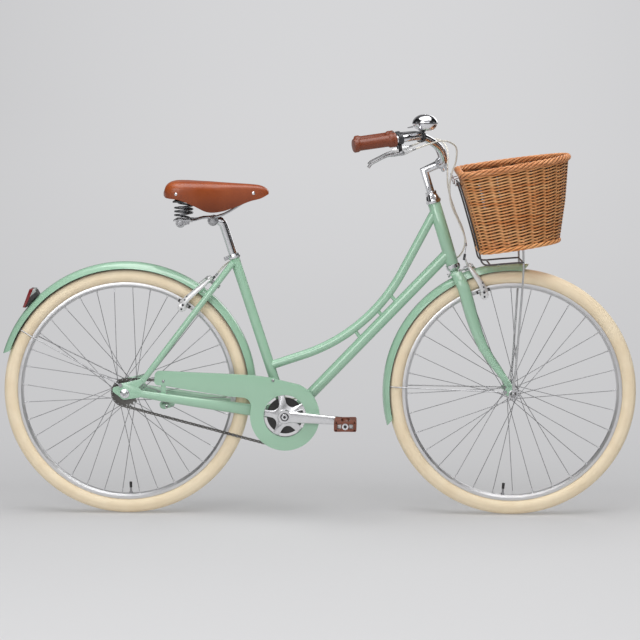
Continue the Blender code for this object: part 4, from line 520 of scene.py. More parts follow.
def crosspiece(bm, spot, half, radius, sides):
    """A rod straight across the bicycle."""
    rod(bm, spot - aside(half), spot + aside(half), radius, sides)


def build_frame():
    top_start, top_end, corner = HEAD_BOTTOM + HEAD_UP * 0.165, BB + SEAT_UP * 0.146, at(0.1444, 0.5264)
    head = lathe(bmesh.new(), collar(15.7, 18.5, 0, 184, 0.6, 0.8, shut=False), HEAD_BOTTOM, HEAD_UP, 48)
    made("frame_head_tube", head, mint, FIXED, "frame", "mint_paint", outward=False)
    for name, path, radius, sides in (
            ("down", [DOWN_START, DOWN_START + DOWN_RUN * 0.985], DOWN_R, 40),
            ("top", [top_start] + rounded(top_start, corner, top_end, 0.5, 40) + [top_end], 0.0127, 32),
            ("seat", [BB, SEAT_TOP - SEAT_UP * 0.0001], SEAT_R, 36)):
        made(f"frame_{name}_tube", tube(bmesh.new(), path, radius, sides=sides), mint, FIXED)
    shell = lathe(bmesh.new(), collar(17.4, 20, -34, 34, 0.6, shut=False), BB, aside(1), 40)
    made("frame_bracket_shell", shell, mint, FIXED)
    struts = bmesh.new()
    for ends in (((205, 637, 0), (222, 618, 0)), ((166, 595, 0), (182, 577, 0)), ((101, 538, 0), (119, 512, 0))):
        tube(struts, spots(*ends), 0.0055, sides=20)
    made("frame_struts", struts, mint, FIXED)

    stays = bmesh.new()
    path = spots((0, 0, -21), (-45, 7, -25.5), (-95, 14, -30), (-170, 26, -41.5), (-270, 41, -53.5), base=BB)
    tube(stays, through(path + [REAR + at(0.046, -0.001, DROPOUT_Y)], 40),
         widths(40, 8.5, 8, 8, 8.5, 8.5, 8.5, 8, 4.5), widths(40, 16.5, 16.8, 16.8, 16, 14.5, 13, 12, 10))
    stay_top, stay_end = SEAT_TOP + at(-0.0005, -0.024), REAR + at(0.052, 0.037)
    path = [stay_top.lerp(stay_end, share) + aside(y) for share, y in (
        (0.0, -0.017), (0.1, -0.03), (0.24, -0.0435), (0.6, -0.0545), (1.0, DROPOUT_Y))]
    tube(stays, through(path, 40), widths(40, 8.5, 9, 9, 9, 9, 9, 8, 4.5), widths(40, 9, 9, 9, 9, 9, 9, 9, 8))
    made("frame_stays", mirrored(stays), mint, FIXED)
    outline = arcs(REAR, (52, 37, 9.5, -25, 150, 12), (-6, 18, 12.5, 80, 165, 8), (-26.5, 10.5, 9, 100, 235, 10),
                   (0, -2, 16, 215, 285, 8), (46, -1, 10, -100, 60, 12))
    outline += [(spot.x, spot.z) for spot in spots((42, 15.5, 0), (40, 18.5, 0), (44, 23, 0), base=REAR)]
    ends = plate(bmesh.new(), outline, -AXLE_HALF_REAR - DROPOUT_T, -AXLE_HALF_REAR, 0.0008)
    made("frame_dropouts", mirrored(ends), mint, FIXED)
    small = bmesh.new()
    crosspiece(small, stay_top.lerp(stay_end, 0.1914), 0.043, 0.007, 24)
    crosspiece(small, REAR + toward(radians(-8)) * 0.3823, 0.028, 0.006, 24)
    rod(small, GUARD_STUD, GUARD_STUD - aside(0.0547), 0.0022, 12)
    block(small, at(-0.446, 0.372, -0.0532), (14, 3, 52), 0.6)
    block(small, at(-0.445, 0.327, 0.0565), (40, 5, 34), 1, radians(-8))
    plate(small, capsule(at(-0.4555, 0.308), at(-0.434, 0.312), 0.013, 0.0105, 10), 0.054, 0.059, 0.001)
    made("frame_bridges", small, mint, FIXED)
    nuts = bmesh.new()
    lathe(nuts, [(0, 2.6), (3, 2.6), (4.2, 1.6), (4.4, 0), (0, 0)], at(-0.448, 0.303, 0.054), aside(-1), 20)
    for side in (-1, 1):
        outside = REAR + aside(side * (AXLE_HALF_REAR + DROPOUT_T))
        lathe(nuts, [(5.5, 0), (13.2, 0), (13.2, 2.2), (12.2, 3), (5.5, 3), (5.5, 0)], outside, aside(side), 36)
        lathe(nuts, [(5.5, 1.6), (9.2, 1.6), (9.4, 3), (9.2, 8.2), (7.8, 11), (5.5, 11.6), (5.5, 1.6)], outside,
              aside(side), 6)
    made("frame_fasteners", nuts, chrome, FIXED)


build_frame()

# Chain, chainring and sprocket
# A bushed roller chain: waisted steel side plates in pairs on rivets, rollers between
# them, running round a 46-tooth ring on the crank's spider and a 19-tooth sprocket.
CHAIN_PITCH = 0.0127
CHAIN_LINE = -0.0435
LINKS = 106
RING_TEETH = 46
SPROCKET_TEETH = 19
PLATE_T = 0.0011
GAP = 0.0003
RING_R, SPROCKET_R = (CHAIN_PITCH / (2 * sin(pi / teeth)) for teeth in (RING_TEETH, SPROCKET_TEETH))
SPAN = (REAR - BB).length
LEAN = asin((RING_R - SPROCKET_R) / SPAN)
LINE = atan2(REAR.z - BB.z, REAR.x - BB.x)
UPPER = LINE - pi / 2 + LEAN
LOWER = LINE + pi / 2 - LEAN
RING_PITCHES = RING_TEETH * (2 * pi - (LOWER - UPPER)) / (2 * pi)
RUN_PITCHES = SPAN * cos(LEAN) / CHAIN_PITCH
SPROCKET_PITCHES = LINKS - RING_PITCHES - 2 * RUN_PITCHES
chain_steel = finish("chain_steel", fine_metal, (0.17, 0.165, 0.155, 1), (0.08, 0.075, 0.07, 1), 0.9, (0.3, 0.5),
                     bump=0.15, metal=1.0)


def chain_point(step):
    """Place of a pin on the pitch line, a number of pitches round from the ring's upper tangent."""
    step %= LINKS
    for centre, radius, teeth, turn, pitches, other, other_r, way in (
            (BB, RING_R, RING_TEETH, UPPER, RING_PITCHES, REAR, SPROCKET_R, toward(LOWER)),
            (REAR, SPROCKET_R, SPROCKET_TEETH, LOWER, SPROCKET_PITCHES, BB, RING_R, toward(UPPER))):
        if step < pitches:
            return centre + toward(turn - 2 * pi * step / teeth) * radius
        step -= pitches
        if step < RUN_PITCHES or centre is REAR:
            return (centre + way * radius).lerp(other + way * other_r, min(step / RUN_PITCHES, 1.0))
        step -= RUN_PITCHES


def build_chain():
    plates, rollers = bmesh.new(), bmesh.new()
    for link in range(LINKS):
        a, b = chain_point(link), chain_point(link + 1)
        heading = atan2(b.z - a.z, b.x - a.x)
        waist = (a + b) / 2
        outline = []
        for end, turn in ((b, heading), (a, heading + pi)):
            outline += arc(end, 0.0039, turn - 1.75, turn + 1.75, 5)
            outline.append((waist.x - 0.0028 * sin(turn), waist.z + 0.0028 * cos(turn)))
        inner = 0.0017 if link % 2 else 0.0029
        for side in (-1, 1):
            faces = sorted(CHAIN_LINE + side * depth for depth in (inner, inner + PLATE_T))
            plate(plates, outline, *faces)
        crosspiece(rollers, a + aside(CHAIN_LINE), 0.0017, 0.0037, 12)
        crosspiece(rollers, a + aside(CHAIN_LINE), 0.0043, 0.0016, 8)
    made("chain_plates", plates, chain_steel, FIXED, "chain", "steel", outward=False)
    made("chain_rollers", rollers, zinc, FIXED)


def toothed(name, teeth, radius, centre, first, hole_r, material, body, node):
    """A toothed plate: rounded tooth gaps that seat the rollers, bored out round the middle."""
    outline = []
    for k in range(teeth):
        middle = first + 2 * pi * k / teeth
        seat = centre + toward(middle) * radius
        swings = [middle + radians(turn) for turn in (100, 130, 155, 180, 205, 230, 260)]
        outline += [(seat.x + 0.0041 * cos(swing), seat.z + 0.0041 * sin(swing)) for swing in swings]
        for share, rise in ((0.4, 0.0026), (0.46, 0.0034), (0.54, 0.0034), (0.6, 0.0026)):
            tip = middle + 2 * pi * share / teeth
            outline.append((centre.x + (radius + rise) * cos(tip), centre.z + (radius + rise) * sin(tip)))
    bm = bmesh.new()
    edges = []
    for ring in (sorted_round(outline, centre), arc(centre, hole_r, first, first + 2 * pi * 71 / 72, 71)):
        edges += strung(bm, [(x, CHAIN_LINE - PLATE_T, z) for x, z in ring], True)[1]
    filled = bmesh.ops.triangle_fill(bm, edges=edges, use_beauty=True)
    faces = [item for item in filled["geom"] if isinstance(item, bmesh.types.BMFace)]
    draw_out(bm, bmesh.ops.extrude_face_region(bm, geom=faces), 2 * PLATE_T)
    made(name, bm, material, body, node, "steel", sharp=35)


def sorted_round(outline, centre):
    """Points in order of their angle about the centre, without repeats."""
    kept = []
    for point in sorted(outline, key=lambda p: atan2(p[1] - centre.z, p[0] - centre.x)):
        if not kept or hypot(point[0] - kept[-1][0], point[1] - kept[-1][1]) > 0.0004:
            kept.append(point)
    return kept


build_chain()
toothed("chainring_plate", RING_TEETH, RING_R, BB, UPPER, 0.064, zinc, "crankset", "chainring")
first_seat = LOWER - 2 * pi * ((-RING_PITCHES - RUN_PITCHES) % 1.0) / SPROCKET_TEETH
toothed("sprocket_plate", SPROCKET_TEETH, SPROCKET_R, REAR, first_seat, 0.0122, chain_steel, "freewheel",
        "rear_sprocket")
driver = lathe(bmesh.new(), [(6.4, -8), (12, -8), (17, -6.2), (17.5, -5), (17.5, 3), (16.5, 4.2), (6.4, 4.2)],
               REAR + aside(CHAIN_LINE), aside(1))
made("freewheel_driver", driver, chain_steel, "freewheel")

# Cranks and pedals
# Forged alloy cranks on a square-ended spindle, the right one with a five-armed
# spider; brown moulded pedals with ribbed treads and a steel cap on the spindle.
CRANK_L = 0.175
CRANK_Y = 0.06
CRANK_SPLAY = 0.008
CRANK_OUTER = CRANK_Y + 0.014
PEDAL_W = 0.094
HALF_ARM = [(70, 0.05), (68, 0.11), (63, 0.15), (56, 0.165), (45, 0.22), (36, 0.3), (32, 0.42)]
tread_coat = finish("pedal_plastic", rubber_coat, srgb(128, 72, 52), srgb(98, 52, 38), 0.8, (0.36, 0.56),
                    bump=0.25)


def crank_tip(side):
    return BB + toward(radians(-3.6)) * (CRANK_L * -side)


def build_crank(side, label):
    tip, out = crank_tip(side), aside(side)
    along = (tip - BB).normalized()
    arm = plate(bmesh.new(), capsule(BB, tip, 0.0168, 0.0108, 16), side * CRANK_OUTER, side * CRANK_Y, 0.0056, 6)
    for vert in arm.verts:
        share = (vert.co - BB).dot(along) / CRANK_L
        across = vert.co - BB - along * share * CRANK_L
        share = min(max(share, 0.0), 1.0)
        waist = 0.2 * sin(pi * share) ** 2
        vert.co += at(-across.x * waist, -across.z * waist, side * CRANK_SPLAY * share)
    made(f"crank_{label}_arm", arm, alloy, "crankset", f"crank_{label}", "aluminium", sharp=50)
    face = CRANK_OUTER * 1000
    boss = lathe(bmesh.new(), [(0, 40.5), (15, 40.5), (18.8, 47), (19.5, 48.5), (19.5, face - 0.6),
                               (18.6, face + 1), (12, face + 1), (11.3, face + 0.2), (11.3, face - 3),
                               (0, face - 3)], BB, out, 48)
    lathe(boss, [(0, -0.4), (7.2, -0.4), (8.2, 0.4), (8.2, 7.2), (6, 7.2), (6, 3.2), (0, 3.2)],
          tip + out * (CRANK_OUTER + CRANK_SPLAY - 0.007), out, 28)
    made(f"crank_{label}_boss", boss, alloy, "crankset", sharp=35)
    cap = lathe(bmesh.new(), [(0, 0), (12.2, 0), (12.2, 1.6), (11.2, 2.4), (4, 2.6), (0, 1.2)],
                BB + out * (CRANK_OUTER - 0.0002), out, 36)
    made(f"crank_{label}_cap", cap, clamp_black, "crankset")
    ring = lathe(bmesh.new(), [(4.4, 3), (7.6, 3.2), (8.6, 2.9), (8.6, 1.7), (4.4, 1.7), (4.4, 3)],
                 BB + out * (CRANK_OUTER + 0.0002), out, 36)
    made(f"crank_{label}_cap_ring", ring, chrome, "crankset")


def build_spider():
    outer = CHAIN_LINE - PLATE_T - GAP
    outline, bolts = [], bmesh.new()
    for k in range(5):
        middle = radians(100 - 72 * k)
        outline += [(BB.x + r / 1000 * cos(middle + swing), BB.z + r / 1000 * sin(middle + swing))
                    for r, swing in [(30, 0.6)] + both_sides(HALF_ARM)[::-1]]
        lathe(bolts, [(0, 2.4), (2.6, 2.4), (4.4, 1.6), (4.6, 0), (0, 0)],
              BB + toward(middle) * 0.0665 + aside(outer - 0.0038), aside(-1), 20)
    made("crank_spider", plate(bmesh.new(), outline, outer - 0.0038, outer, 0.0006), alloy, "crankset")
    face = outer * 1000
    ring = [(59.6, face - 3), (60.2, face - 3.6), (71.4, face - 3.6), (72, face - 3), (72, face - 0.2),
            (59.6, face - 0.2)]
    made("spider_band", turned_ring(ring, BB, 96), alloy, "crankset")
    # Painted shade: a black ring just inboard of the spider darkens what shows through its windows.
    ring = [(24, face + 4), (52, face + 4), (52.6, face + 4.6), (52.6, face + 5.6), (24, face + 5.6)]
    made("spider_shade_disc", turned_ring(ring, BB, 72), black, "crankset")
    made("chainring_bolts", bolts, zinc, "crankset")


def build_pedal(side, label):
    tip, out, body = crank_tip(side), aside(side), f"{label}_pedal"
    near = CRANK_OUTER + CRANK_SPLAY + GAP + 0.006
    far = near + PEDAL_W
    middle, length = tip + out * ((near + far) / 2), PEDAL_W * 1000 - 1.4
    cage, inset = bmesh.new(), bmesh.new()
    for end in (near + 0.0052, far - 0.0052):
        for sign in (-1, 1):
            block(cage, tip + at(0, sign * 0.0104, side * end), (57, 10, 7.6), 1.4)
            block(cage, tip + at(sign * 0.0258, 0, side * end), (6.6, 10, 28.4), 1.4)
    for edge in (-1, 1):
        for rise in (-0.0104, 0.0104):
            block(cage, middle + at(edge * 0.0212, rise), (19, length, 7), 1.6)
            for k in range(9):
                block(cage, tip + at(edge * 0.0212, rise * 1.36, side * (near + 0.01 + k * 0.0092)),
                      (17, 4.4, 3), 0.8)
        block(cage, middle + at(edge * 0.0292, 0), (5, length, 24), 1.4)
    a, b = near * 1000, far * 1000
    lathe(cage, [(9, a - 0.2), (11.2, a - 0.2), (11.2, a + 10), (9.8, a + 12), (9.8, b - 12), (11.2, b - 10),
                 (11.2, b - 0.6), (9, b - 0.6), (9, a - 0.2)], tip, out)
    made(f"pedal_{label}_cage", cage, tread_coat, body, f"pedal_{label}", "brown_plastic", sharp=35)
    block(inset, tip + out * (far - 0.01), (46, 2.4, 13.8), 0.8)
    made(f"pedal_{label}_inset", inset, cast_silver, body)
    cap = lathe(bmesh.new(), [(4.6, 0.4), (9, 0.2), (9.6, -0.6), (9.6, -3), (4.6, -3), (4.6, 0.4)],
                tip + out * far, out)
    made(f"pedal_{label}_cap", cap, chrome, body)
    core = lathe(bmesh.new(), [(0, -1), (4.7, -1), (4.7, -3), (0, -3)], tip + out * far, out, 24)
    made(f"pedal_{label}_core", core, black, body)


SIDES = ((-1, "right"), (1, "left"))
for side, label in SIDES:
    build_crank(side, label)
build_spider()
for side, label in SIDES:
    build_pedal(side, label)

# Chain guard
# Pressed steel sheet: a disc round the chainring and an arm back over the chain's
# upper run, with a folded edge, under the same enamel as the frame, on two bolts.
GUARD_Y = -0.0565
GUARD_R = 0.1
GUARD_FILLET = 0.026


def face_out(bm, measure):
    """Turn a sheet over where its faces look the wrong way, by a measure of each face."""
    if sum(measure(face) for face in bm.faces) < 0:
        bmesh.ops.reverse_faces(bm, faces=bm.faces)


def build_guard():
    low_z = 0.3455 - GUARD_FILLET
    low = at(BB.x - sqrt((GUARD_R + GUARD_FILLET) ** 2 - (low_z - BB.z) ** 2), low_z)
    heading = atan2(low.z - BB.z, low.x - BB.x)
    outline = [(-0.4505, 0.422), (-0.41, 0.4202), (-0.369, 0.418), (-0.28, 0.4146), (-0.198, 0.4105),
               (-0.165, 0.407), (-0.14, 0.403)]
    outline += arc(BB, GUARD_R, radians(66), heading - 2 * pi, 72)
    outline += arc(low, GUARD_FILLET, heading - pi, pi / 2, 12)[1:]
    outline += [(-0.26, 0.3485), (-0.35, 0.3633), (-0.448, 0.3795)]
    outline += arcs(Vector(), (-459, 392.5, 13, -105, -190, 6), (-456, 407, 15, 190, 108, 7))
    bm = bmesh.new()
    rim, hole = (strung(bm, [(x, GUARD_Y, z) for x, z in ring], True)[1]
                 for ring in (outline, arc(BB, 0.061, 0.0, 2 * pi * 95 / 96, 95)))
    bmesh.ops.triangle_fill(bm, edges=rim + hole, use_beauty=True)
    bmesh.ops.recalc_face_normals(bm, faces=bm.faces)
    face_out(bm, lambda face: -face.normal.y)
    for edges, depth in ((rim, 0.0065), (hole, 0.0045)):
        draw_out(bm, bmesh.ops.extrude_edge_only(bm, edges=edges), depth)
    round_over(bm, rim + hole, 0.0016, 4)
    bmesh.ops.solidify(bm, geom=bm.faces, thickness=0.0012)
    made("chain_guard_sheet", bm, mint, FIXED, "chain_guard", "mint_paint")
    heads = bmesh.new()
    for spot in (at(-0.446, 0.392), GUARD_STUD):
        lathe(heads, [(0, 1.8), (1.8, 1.8), (2, 2.2), (3.6, 1.6), (4.4, 0.4), (4.4, -0.4), (0, -0.4)],
              spot + aside(GUARD_Y), aside(-1), 24)
    made("chain_guard_screws", heads, zinc, FIXED)


build_guard()

# Mudguards and the tail light
# Rolled steel mudguards with a bead along each edge, on painted tabs and zinc wire
# stays; the tail light is a dark housing with a ribbed red lens on the rear one.
STEERED = "steering_assembly"
FENDER_HALF = 0.028
FENDER_CORNER = 0.02
FENDER_DROPS = [(0, 0), (0.6, 6), (2.6, 13), (6.6, 19.6), (11.6, 24), (17, 26.6), (18.5, 27.4), (19.6, 28),
                (20.6, 27.4), (20.6, 26.2)]
# Half section of the dark painted-shade sheet under each mudguard.
SHADE_LINING_DROPS = [(1.2, 0), (1.8, 5.8), (4, 12.6), (8, 18.8), (12.8, 23), (21.4, 25.2)]


def strip(centre, r, first, last, steps, drops):
    """A mudguard's strip round a wheel; its half section is noted as drops from the crown and offsets."""
    section = both_sides([(r * 1000 - drop, y) for drop, y in drops])
    return turned_ring(section, centre, steps, radians(last - first), radians(first), False)


def strip_made(name, bm, centre, thickness, *finished):
    face_out(bm, lambda face: face.normal.dot(face.calc_center_median() - centre))
    bmesh.ops.solidify(bm, geom=bm.faces, thickness=thickness)
    made(name, bm, *finished, sharp=45)


def build_fender(name, centre, r, first, last, body, node):
    """Crowned sheet whose edges turn down and curl into a bead, with round corners at both ends."""
    bm = strip(centre, r, first, last, 160, FENDER_DROPS)
    for vert in bm.verts:
        out = vert.co - centre
        turn = atan2(out.z, out.x)
        if turn < radians(last) - 0.05:
            turn += 2 * pi
        off = max(0.0, abs(out.y) - (FENDER_HALF - FENDER_CORNER))
        pull = (FENDER_CORNER - sqrt(max(FENDER_CORNER ** 2 - off ** 2, 0.0))) / r
        share = (turn - radians(first)) / radians(last - first)
        turn -= pull * (max(0.0, 1 - share * 8) - max(0.0, share * 8 - 7))
        vert.co = centre + toward(turn) * hypot(out.x, out.z) + aside(out.y)
    strip_made(name, bm, centre, 0.0009, mint, body, node, "mint_paint")


# Painted shade: a dark sheet just under each mudguard, reaching a little past its edges, stands for the shadow
# between mudguard and tyre and shows as a dark line along the edge.
shade_lining_coat = finish("shade_lining_coat", rubber_coat, srgb(26, 34, 28), srgb(38, 46, 38), 0.7, (0.6, 0.8), bump=0.2)
for label, centre, r, first, last, body in (("rear", REAR, 0.376, 158.5, 2.5, FIXED),
                                            ("front", FRONT, 0.3735, 190.7, 87.7, STEERED)):
    shade = strip(centre, r, first, last, 120, SHADE_LINING_DROPS)
    strip_made(f"{label}_mudguard_shade_lining", shade, centre, 0.0003, shade_lining_coat, body)
build_fender("rear_mudguard", REAR, 0.376, 163.0, -2.0, FIXED, "rear_fender")
build_fender("front_mudguard", FRONT, 0.3735, 195.2, 83.2, STEERED, "front_fender")
lens_coat = finish("red_lens", smooth_coat, (0.22, 0.006, 0.008, 1), (0.13, 0.003, 0.004, 1), 0.7, (0.08, 0.16),
                   bump=0.02, coat=1.0)
clear_grey = finish("clear_grey", smooth_coat, srgb(168, 176, 172), srgb(142, 150, 147), 0.7, (0.12, 0.22),
                    bump=0.02, coat=1.0)


def build_tail_light():
    out, along = toward(radians(136)), toward(radians(226))
    foot = REAR + out * 0.3763
    for piece, points, half, edge, segments, coat, node, slot in (
            ("case", ((-27, 0), (26, 0), (27.5, 1.2), (-30, 20), (-32, 17)), 0.021, 0.0012, 2, black,
             "tail_light_housing", "black_plastic"),
            ("window", ((-15, 12), (-4, 12.8), (-23.5, 20), (-30.2, 20.6), (-32.5, 16.8), (-28.5, 10)), 0.0216,
             0.001, 2, clear_grey, None, None),
            ("glass", ((27.8, 1.5), (32, 7), (-19.5, 28.9), (-23.5, 28), (-29.7, 20.3)), 0.0205, 0.0014, 3,
             lens_coat, "tail_light_lens", "red_lens")):
        outline = [foot + along * (t / 1000) + out * (h / 1000) for t, h in points]
        bm = plate(bmesh.new(), [(spot.x, spot.z) for spot in outline], -half, half, edge, segments)
        for k in range(9 if piece == "glass" else 0):
            crosspiece(bm, foot + along * (0.0262 - k * 0.0054) + out * (0.009 + k * 0.0023), 0.018, 0.0009, 8)
        made(f"tail_light_{piece}", bm, coat, FIXED, node, slot)


build_tail_light()

# Saddle
# A thick leather top stretched from a nose piece to the rear cantle plate and held
# with domed steel rivets, on a chromed wire frame with a coil spring under each side.
SPRING_X, SPRING_Y, SPRING_R = -0.3885, 0.054, 0.0205
SPRING_LOW, SPRING_HIGH = 0.856, 0.9045
SPRING_FOOT, SPRING_STEPS = 0.0044, 140
SADDLE_STATIONS = ((-441.5, 50, 936, 924), (-433, 72, 956, 919), (-415, 83.5, 965, 916), (-385, 86, 966, 912),
                   (-350, 76, 964.5, 896), (-315, 57, 963, 876.8), (-278, 40, 960.5, 877.2),
                   (-240, 29.5, 958, 889), (-200, 24.5, 955.5, 906), (-170, 21.5, 952, 914), (-152, 16, 944, 923),
                   (-145, 10, 936.5, 926))


def leather_group():
    """Pebbled hide: cells for the grain, broad darker patches where hands and trousers rub."""
    group, entry, leave, place = coat_group("leather_hide")
    broad, fine = noise(group, place, 14.0, 6.0), noise(group, place, 260.0)
    grain = add(group, "ShaderNodeTexVoronoi", {"Vector": place, "Scale": 620.0})["Distance"]
    share = reckon(group, "MULTIPLY", band(group, broad, 0.38, 0.64), entry["Amount"])
    feed(group, leave, {"Colour": blended(group, share, entry["Main"], entry["Patch"]),
                        "Roughness": band(group, fine, 0.0, 1.0, entry["Rough Low"], entry["Rough High"]),
                        "Height": reckon(group, "ADD", grain, fine)})
    return group


hide = leather_group()
leather = finish("brown_leather", hide, srgb(166, 82, 38), srgb(146, 66, 28), 0.85, (0.28, 0.42), bump=0.15,
                 bump_size=0.0002, coat=0.1)
tree = leather.node_tree
skin = tree.nodes["Principled BSDF"]
place = add(tree, "ShaderNodeTexCoord")["Object"]
# Painted shade: the leather turns darker towards the bottom of the saddle, below 0.95 m, as if the light fell from
# above.
low_shade = band(tree, add(tree, "ShaderNodeSeparateXYZ", {"Vector": place})["Z"], 0.88, 0.95, 0.75, 0.0)
shaded_hide = blended(tree, low_shade, skin.inputs["Base Color"].links[0].from_socket, srgb(84, 34, 12))
feed(tree, skin, {"Base Color": shaded_hide})
coil_steel = finish("coil_steel", fine_metal, (0.2, 0.2, 0.21, 1), (0.13, 0.13, 0.135, 1), 0.6, (0.16, 0.3),
                    metal=1.0)


def build_saddle():
    bm = bmesh.new()
    rows = []
    for upper, lower in zip(through(spots(*((x, top, half) for x, half, top, low in SADDLE_STATIONS)), 64),
                            through(spots(*((x, low, half) for x, half, top, low in SADDLE_STATIONS)), 64)):
        half, top, low = upper.y, upper.z, lower.z
        drop = top - low
        corner = min(drop * 0.62, half * 0.55, 0.026)
        right = [(half * 0.985, low), (half, low + drop * 0.18), (half * 1.008, low + (drop - corner) * 0.62),
                 (half, top - corner)]
        for k in range(1, 8):
            t = pi / 2 * k / 8
            right.append((half - corner * 1.15 * (1 - cos(t)), top - 0.0016 - (corner - 0.0016) * (1 - sin(t))))
        flat = right[-1][0]
        right += [(flat * 0.72, top - 0.0009), (flat * 0.36, top - 0.0002)]
        section = right + [(0.0, top)] + [(-y, z) for y, z in reversed(right)]
        rows.append(strung(bm, [(upper.x, y, z) for y, z in section])[1])
    for first, second in zip(rows, rows[1:]):
        bmesh.ops.bridge_loops(bm, edges=first + second)
    bmesh.ops.recalc_face_normals(bm, faces=bm.faces)
    face_out(bm, lambda face: face.normal.z)
    bmesh.ops.solidify(bm, geom=bm.faces, thickness=0.0038)
    made("saddle_leather", bm, leather, "saddle", "saddle_cover", "brown_leather", sharp=50)

    rivets = bmesh.new()
    for side in (-1, 1):
        lathe(rivets, [(0, 2), (2.4, 1.7), (4.8, 0.5), (5.2, -1), (0, -1)], at(-0.187, 0.93, side * 0.0232),
              Vector((0.08, side, 0.12)).normalized(), 20)
        lathe(rivets, [(0, 1.6), (2.2, 1.3), (5, 0.4), (5.2, -1), (0, -1)], at(-0.403, 0.93, side * 0.0856),
              Vector((-0.1, side, 0.05)).normalized(), 20)
    for y in (-0.066, -0.05, -0.026, 0.0, 0.026, 0.05, 0.066):
        lathe(rivets, [(0, 1.6), (2.2, 1.3), (4.6, 0.4), (4.8, -3), (0, -3)],
              at(0.0095 * (abs(y) / 0.066) ** 2.4 - 0.4388, 0.94 if abs(y) < 0.05 else 0.942, y),
              Vector((-1, y * 9, 0.35)).normalized(), 20)
    made("saddle_rivets", rivets, chrome, "saddle")
    plates = bmesh.new()
    block(plates, at(SPRING_X, SPRING_HIGH + 0.0028), (50, 156, 5), 1)
    block(plates, at(SPRING_X - 0.018, SPRING_HIGH + 0.018), (4, 140, 32), 1)
    block(plates, at(SPRING_X, SPRING_HIGH + 0.029), (6, 90, 56), 1)
    made("saddle_cantle_plate", plates, black, "saddle")


def build_springs():
    lugs = bmesh.new()
    for side, label in SIDES:
        start = 0.0 if side < 0 else 2.26
        middle = at(SPRING_X, SPRING_LOW, side * SPRING_Y)
        path = [middle + at(SPRING_R * cos(start), 0.0002, SPRING_R * sin(start))]
        for k in range(SPRING_STEPS + 1):
            share = k / SPRING_STEPS
            turn = start + 2 * pi * 3.25 * share
            rise = SPRING_FOOT + 0.003 * (min(share * 9, 1) + max(0.0, share * 9 - 8)) + (
                SPRING_HIGH - SPRING_LOW - 2 * SPRING_FOOT - 0.006) * share
            path.append(middle + at(SPRING_R * cos(turn), rise, SPRING_R * sin(turn)))
        path.append(at(path[-1].x, SPRING_HIGH - 0.0002, path[-1].y))
        name = f"saddle_spring_{label}"
        coil = made(f"{name}_coil", tube(bmesh.new(), path, 0.0027, sides=12, across=(1, 0, 0)), coil_steel, "seat",
                    name, "chrome", sharp=60)
        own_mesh(coil)
        lathe(lugs, [(0, 0), (12.4, 0), (13.4, 1), (13.4, 12), (12.4, 13.2), (9.2, 13.2), (8.6, 11.8), (6.4, 11.8),
                     (6, 17.2), (0, 17.6)], at(SPRING_X - 0.004, SPRING_LOW - 0.0092, side * 0.056), aside(side),
              36)
        block(lugs, at(SPRING_X + 0.008, SPRING_LOW - 0.008, side * 0.06), (26, 10, 11), 2)
    made("saddle_spring_lugs", lugs, zinc, "seat")


build_saddle()
build_springs()

# Handlebar, grips and bell
# Swept-back chromed bar in the stem's clamp; smooth brown grips with a broad collar inside
# and a flange at the end; a chromed bell with a turned dome on a black band round the bar.
CLAMP = at(0.348, 1.0156)
BELL_SPOT = at(0.283, 1.093, -0.187)
GRIP_L = 0.118
grip_rubber = finish("brown_grip", smooth_coat, srgb(124, 60, 34), srgb(108, 50, 28), 0.8, (0.32, 0.42), bump=0.0)


def grip_axis(side):
    start, end = at(0.215, 1.086, side * 0.262), at(0.0995, 1.0695, side * 0.3)
    return start, (end - start).normalized()


def bar_half(side, count=11):
    start, way = grip_axis(side)
    route = spots((348, 1015.6, 36), (353, 1030, 70), (340, 1060, 108), (310, 1083, 150), (283, 1093, 187),
                  side=side)
    return through(route + [start - way * 0.034], count) + [start - way * 0.012, start + way * (GRIP_L - GAP)]


def build_bar():
    path = bar_half(-1, 48)[::-1] + [CLAMP] + bar_half(1, 48)
    made("handlebar_tube", tube(bmesh.new(), path, 0.0111, sides=28, across=(1, 0, 0)), chrome, STEERED,
         "handlebar", "chrome", sharp=60)


def build_grip(side, label):
    end = GRIP_L * 1000
    outer = [(11.7, 0), (18.6, 0), (19.8, 1.2), (20, 6), (19.6, 7.4), (18.9, 8), (18.9, 9.2), (19.6, 9.8),
             (19.9, 11), (19.7, 17), (18.8, 19.6), (17, 21.2), (16.4, 24), (16.2, 60), (16, end - 18),
             (16.4, end - 12.5), (18.4, end - 9.5), (19, end - 8), (19, end + 1), (17.6, end + 3), (9, end + 4),
             (0, end + 4)]
    made(f"grip_{label}_sleeve", lathe(bmesh.new(), outer, *grip_axis(side), 40), grip_rubber, STEERED,
         f"grip_{label}", "brown_leather")


def lever_pivot(side):
    """The lever's pivot, the way of its pin, and the end of its adjusting barrel, where the housing starts."""
    way = grip_axis(side)[1]
    spot = at(0.233, 1.049, side * 0.25)
    pin = Vector((way.y, -way.x, 0.0)).normalized() * -side
    return spot, pin, spot + at(0.031, 0.0085, -side * 0.007) + pin * 0.0092


